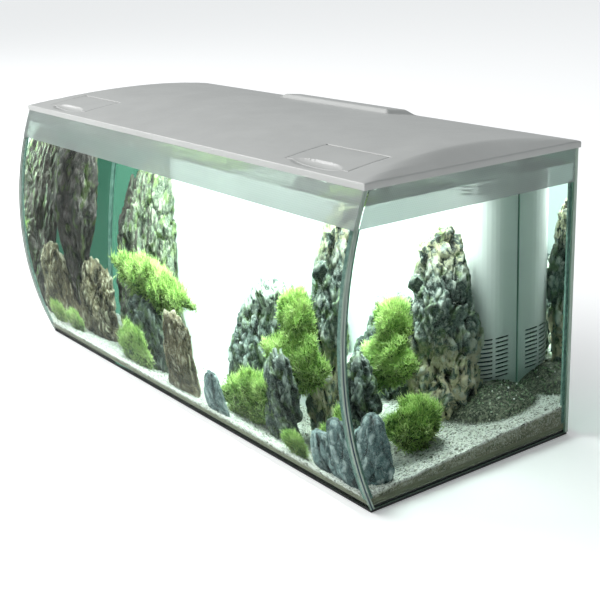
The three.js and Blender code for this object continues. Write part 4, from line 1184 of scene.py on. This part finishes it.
def make_gravel():
    """The bed: shaped to the bowed glass in front, and open round the filter module."""
    clearance = 0.7
    edge = INSIDE_X - clearance
    x_lines = np.linspace(-edge, edge, 403)
    share = np.linspace(0, 1, 151)
    back = INSIDE_BACK - clearance
    x, s = np.meshgrid(x_lines, share, indexing="ij")
    front = bow_y(FRONT_GRAVEL, GLASS + clearance)
    y = front + s * (back - front)
    z = gravel_z(x, y)
    flat = np.column_stack([x.ravel(), y.ravel(), z.ravel()])
    z = z + (0.9 * fbm(flat, 26, 3, seed=4) + 0.7 * fbm(flat, 4, 2, seed=8)).reshape(z.shape)
    y = bow_y(z, GLASS + clearance) + s * (back - bow_y(z, GLASS + clearance))
    floor = FLOOR_TOP + GAP
    cell_x = cell_middles(x)
    in_module = (cell_x > MODULE_LOW[0] + 6) & (cell_x < MODULE_HIGH[0] - 6)
    keep = ~(in_module & (cell_middles(y) > MODULE_LOW[1] + 14))
    front_floor = bow_y(floor, GLASS + clearance)
    bottom = np.stack([x, front_floor + s * (back - front_floor), np.full(x.shape, floor)], 2)
    points, faces = double_field(np.stack([x, y, z], 2), bottom, keep)
    obj = piece("gravel_surface", points, faces, gravel_bed(), replaces=["gravel_bed"])
    crisp(obj, 50)
    surface = gravel_z(points[:, 0], points[:, 1])
    set_float(obj, "depth", np.clip(surface - points[:, 2], 0, 60))
    set_float(obj, "dark", on_mound(points[:, 0], points[:, 1]))


def make_grains():
    """Loose grains of grit on the bed, darker on the mound in the corner."""
    random = np.random.RandomState(7)
    x = random.uniform(-INSIDE_X + 2.5, INSIDE_X - 2.5, GRAINS)
    in_front = random.random(GRAINS) < BY_THE_GLASS
    along = np.where(in_front, random.uniform(0, 0.06, GRAINS), random.uniform(0, 1, GRAINS))
    front = bow_y(FRONT_GRAVEL, GLASS) + 2.4
    y = front + along * (INSIDE_BACK - 3 - front)
    free = ~((x > MODULE_LOW[0] - 2) & (x < MODULE_HIGH[0] + 2) & (y > MODULE_LOW[1] - 2))
    x, y = x[free], y[free]
    count = len(x)
    unit, faces = ball(1)
    size = random.uniform(1.0, 1.9, count)
    squash = random.uniform(0.65, 1.15, (count, 1, 3))
    jitter = random.uniform(0.82, 1.18, (count, len(unit), 1))
    spin = random.normal(size=(count, 4))
    spin /= np.linalg.norm(spin, axis=1)[:, None]
    w, a, b, c = spin.T  # a unit quaternion for each grain, and its rotation
    turn = np.stack([
        1 - 2 * (b * b + c * c), 2 * (a * b - c * w), 2 * (a * c + b * w),
        2 * (a * b + c * w), 1 - 2 * (a * a + c * c), 2 * (b * c - a * w),
        2 * (a * c - b * w), 2 * (b * c + a * w), 1 - 2 * (a * a + b * b)], axis=1).reshape(-1, 3, 3)
    local = unit[None] * squash * jitter * size[:, None, None]
    local = np.einsum("nij,nkj->nki", turn, local)
    centre = np.column_stack([x, y, gravel_z(x, y) + size * 0.35])
    points = (local + centre[:, None]).reshape(-1, 3)
    all_faces = (faces[None] + (np.arange(count) * len(unit))[:, None, None]).reshape(-1, 3)
    obj = piece("gravel_grains", points, [all_faces], gravel_grain(), smooth=False)
    dark = on_mound(x, y) * (random.random(count) < 0.95)
    set_float(obj, "own", np.repeat(random.random(count), len(unit)))
    set_float(obj, "dark", np.repeat(dark, len(unit)))


# ---------- stage, light and camera
def area_light(name, place, target, size, power, colour=(1, 1, 1), parent=None):
    data = bpy.data.lights.new(name, "AREA")
    data.shape = "RECTANGLE"
    data.size, data.size_y = size
    data.energy = power
    data.color = colour
    obj = bpy.data.objects.new(name, data)
    bpy.context.scene.collection.objects.link(obj)
    obj.location = place
    way = Vector(target) - Vector(place)
    obj.rotation_euler = way.to_track_quat("-Z", "Y").to_euler()
    if parent is not None:
        obj.parent = parent
    obj.visible_camera = False
    obj.visible_transmission = False
    return obj


def make_stage():
    """A wide pale floor just under the tank."""
    shape = bpy.data.meshes.new("floor")
    half = 30.0
    corners = [(-half, -half, 0), (half, -half, 0), (half, half, 0), (-half, half, 0)]
    shape.from_pydata(corners, [], [(0, 1, 2, 3)])
    p = Paint("pale_floor")
    shape.materials.append(p.finish(p.principled(
        (0.93, 0.93, 0.93), 0.9, Emission_Color=(1, 1, 1, 1), Emission_Strength=0.18)))
    floor = bpy.data.objects.new("floor", shape)
    floor.location = (0, 0, -0.0005)
    bpy.context.scene.collection.objects.link(floor)


def make_world():
    """White behind everything, and a dimmer, cooler sky for the light."""
    world = bpy.data.worlds.new("studio")
    bpy.context.scene.world = world
    world.use_nodes = True
    tree = world.node_tree
    tree.nodes.clear()
    out = tree.nodes.new("ShaderNodeOutputWorld")
    seen, lighting = (tree.nodes.new("ShaderNodeBackground") for _ in range(2))
    seen.inputs["Color"].default_value = (1, 1, 1, 1)
    lighting.inputs["Color"].default_value = (0.90, 0.97, 1.0, 1)
    lighting.inputs["Strength"].default_value = 0.30
    path = tree.nodes.new("ShaderNodeLightPath")
    mix = tree.nodes.new("ShaderNodeMixShader")
    tree.links.new(path.outputs["Is Camera Ray"], mix.inputs[0])
    tree.links.new(lighting.outputs[0], mix.inputs[1])
    tree.links.new(seen.outputs[0], mix.inputs[2])
    tree.links.new(mix.outputs[0], out.inputs["Surface"])


LAMP_COLOUR = (0.96, 1.0, 0.98)


def make_lights():
    """A soft key from the front left, an even sky, and the hood's own lamp, which rises with the hood."""
    area_light("key", (-3.0, -2.3, 2.3), (0, 0, 0.2), (2.6, 2.0), 150)
    sky = bpy.data.lights.new("sky", "SUN")
    sky.energy = 1.6
    sky.angle = math.radians(70)
    sky_lamp = bpy.data.objects.new("sky", sky)
    sky_lamp.rotation_euler = Vector((0.55, 0.3, -1.0)).to_track_quat("-Z", "Y").to_euler()
    bpy.context.scene.collection.objects.link(sky_lamp)
    hood = frame["bodies"]["hood"]
    low = (box_mm("lamp_diffuser")[0][2] - 1) * MM
    strip = area_light("strip_lamp", (0, (MIDDLE_Y - 6) * MM, low), (0, (MIDDLE_Y + 4) * MM, 0.1),
                       (0.58, 0.05), 4.5, LAMP_COLOUR, hood)
    wash = area_light("rear_wash", (0.02, (MIDDLE_Y + 14) * MM, low), (0.02, (MIDDLE_Y + 80) * MM, 0.2),
                      (0.42, 0.03), 1.2, LAMP_COLOUR, hood)
    strip.data.spread = math.radians(140)
    wash.data.spread = math.radians(110)


CAMERA_PLACE = (1.2922, -0.8629, 0.6165)
CAMERA_TURN = (54.325, 17.864, -2.165)  # yaw to the left of +Y, pitch down and roll, in degrees
LENS = 69.37


def make_camera():
    """A camera at CAMERA_PLACE, turned by CAMERA_TURN."""
    yaw, pitch, roll = (math.radians(a) for a in CAMERA_TURN)
    ahead = Vector((-math.sin(yaw) * math.cos(pitch), math.cos(yaw) * math.cos(pitch), -math.sin(pitch)))
    right = ahead.cross(Vector((0, 0, 1))).normalized()
    up = right.cross(ahead)
    rolled_right = math.cos(roll) * right + math.sin(roll) * up
    rolled_up = -math.sin(roll) * right + math.cos(roll) * up
    data = bpy.data.cameras.new("camera")
    data.lens = LENS
    data.sensor_width = 36
    data.clip_start = 0.01
    data.clip_end = 100
    obj = bpy.data.objects.new("camera", data)
    bpy.context.scene.collection.objects.link(obj)
    turned = Matrix((rolled_right, rolled_up, -ahead)).transposed()
    obj.matrix_world = Matrix.Translation(CAMERA_PLACE) @ turned.to_4x4()
    bpy.context.scene.camera = obj


def set_rendering():
    """A plain view transform, and enough bounces to see through two panes and the water."""
    scene = bpy.context.scene
    scene.view_settings.view_transform = "Standard"
    settings = dict(
        use_denoising=True, max_bounces=16, diffuse_bounces=4, glossy_bounces=6, transmission_bounces=14,
        transparent_max_bounces=24, caustics_reflective=False, caustics_refractive=False,
        sample_clamp_indirect=6.0)
    for name, value in settings.items():
        setattr(scene.cycles, name, value)



make_camera()
make_stage()
make_world()
make_lights()
set_rendering()
make_glass()
make_water()
make_fittings()
make_media()
make_hood()
make_flap("left", -1)
make_flap("right", 1)
make_gravel()
make_grains()
make_stones()
make_mosses()

bpy.context.view_layer.update()
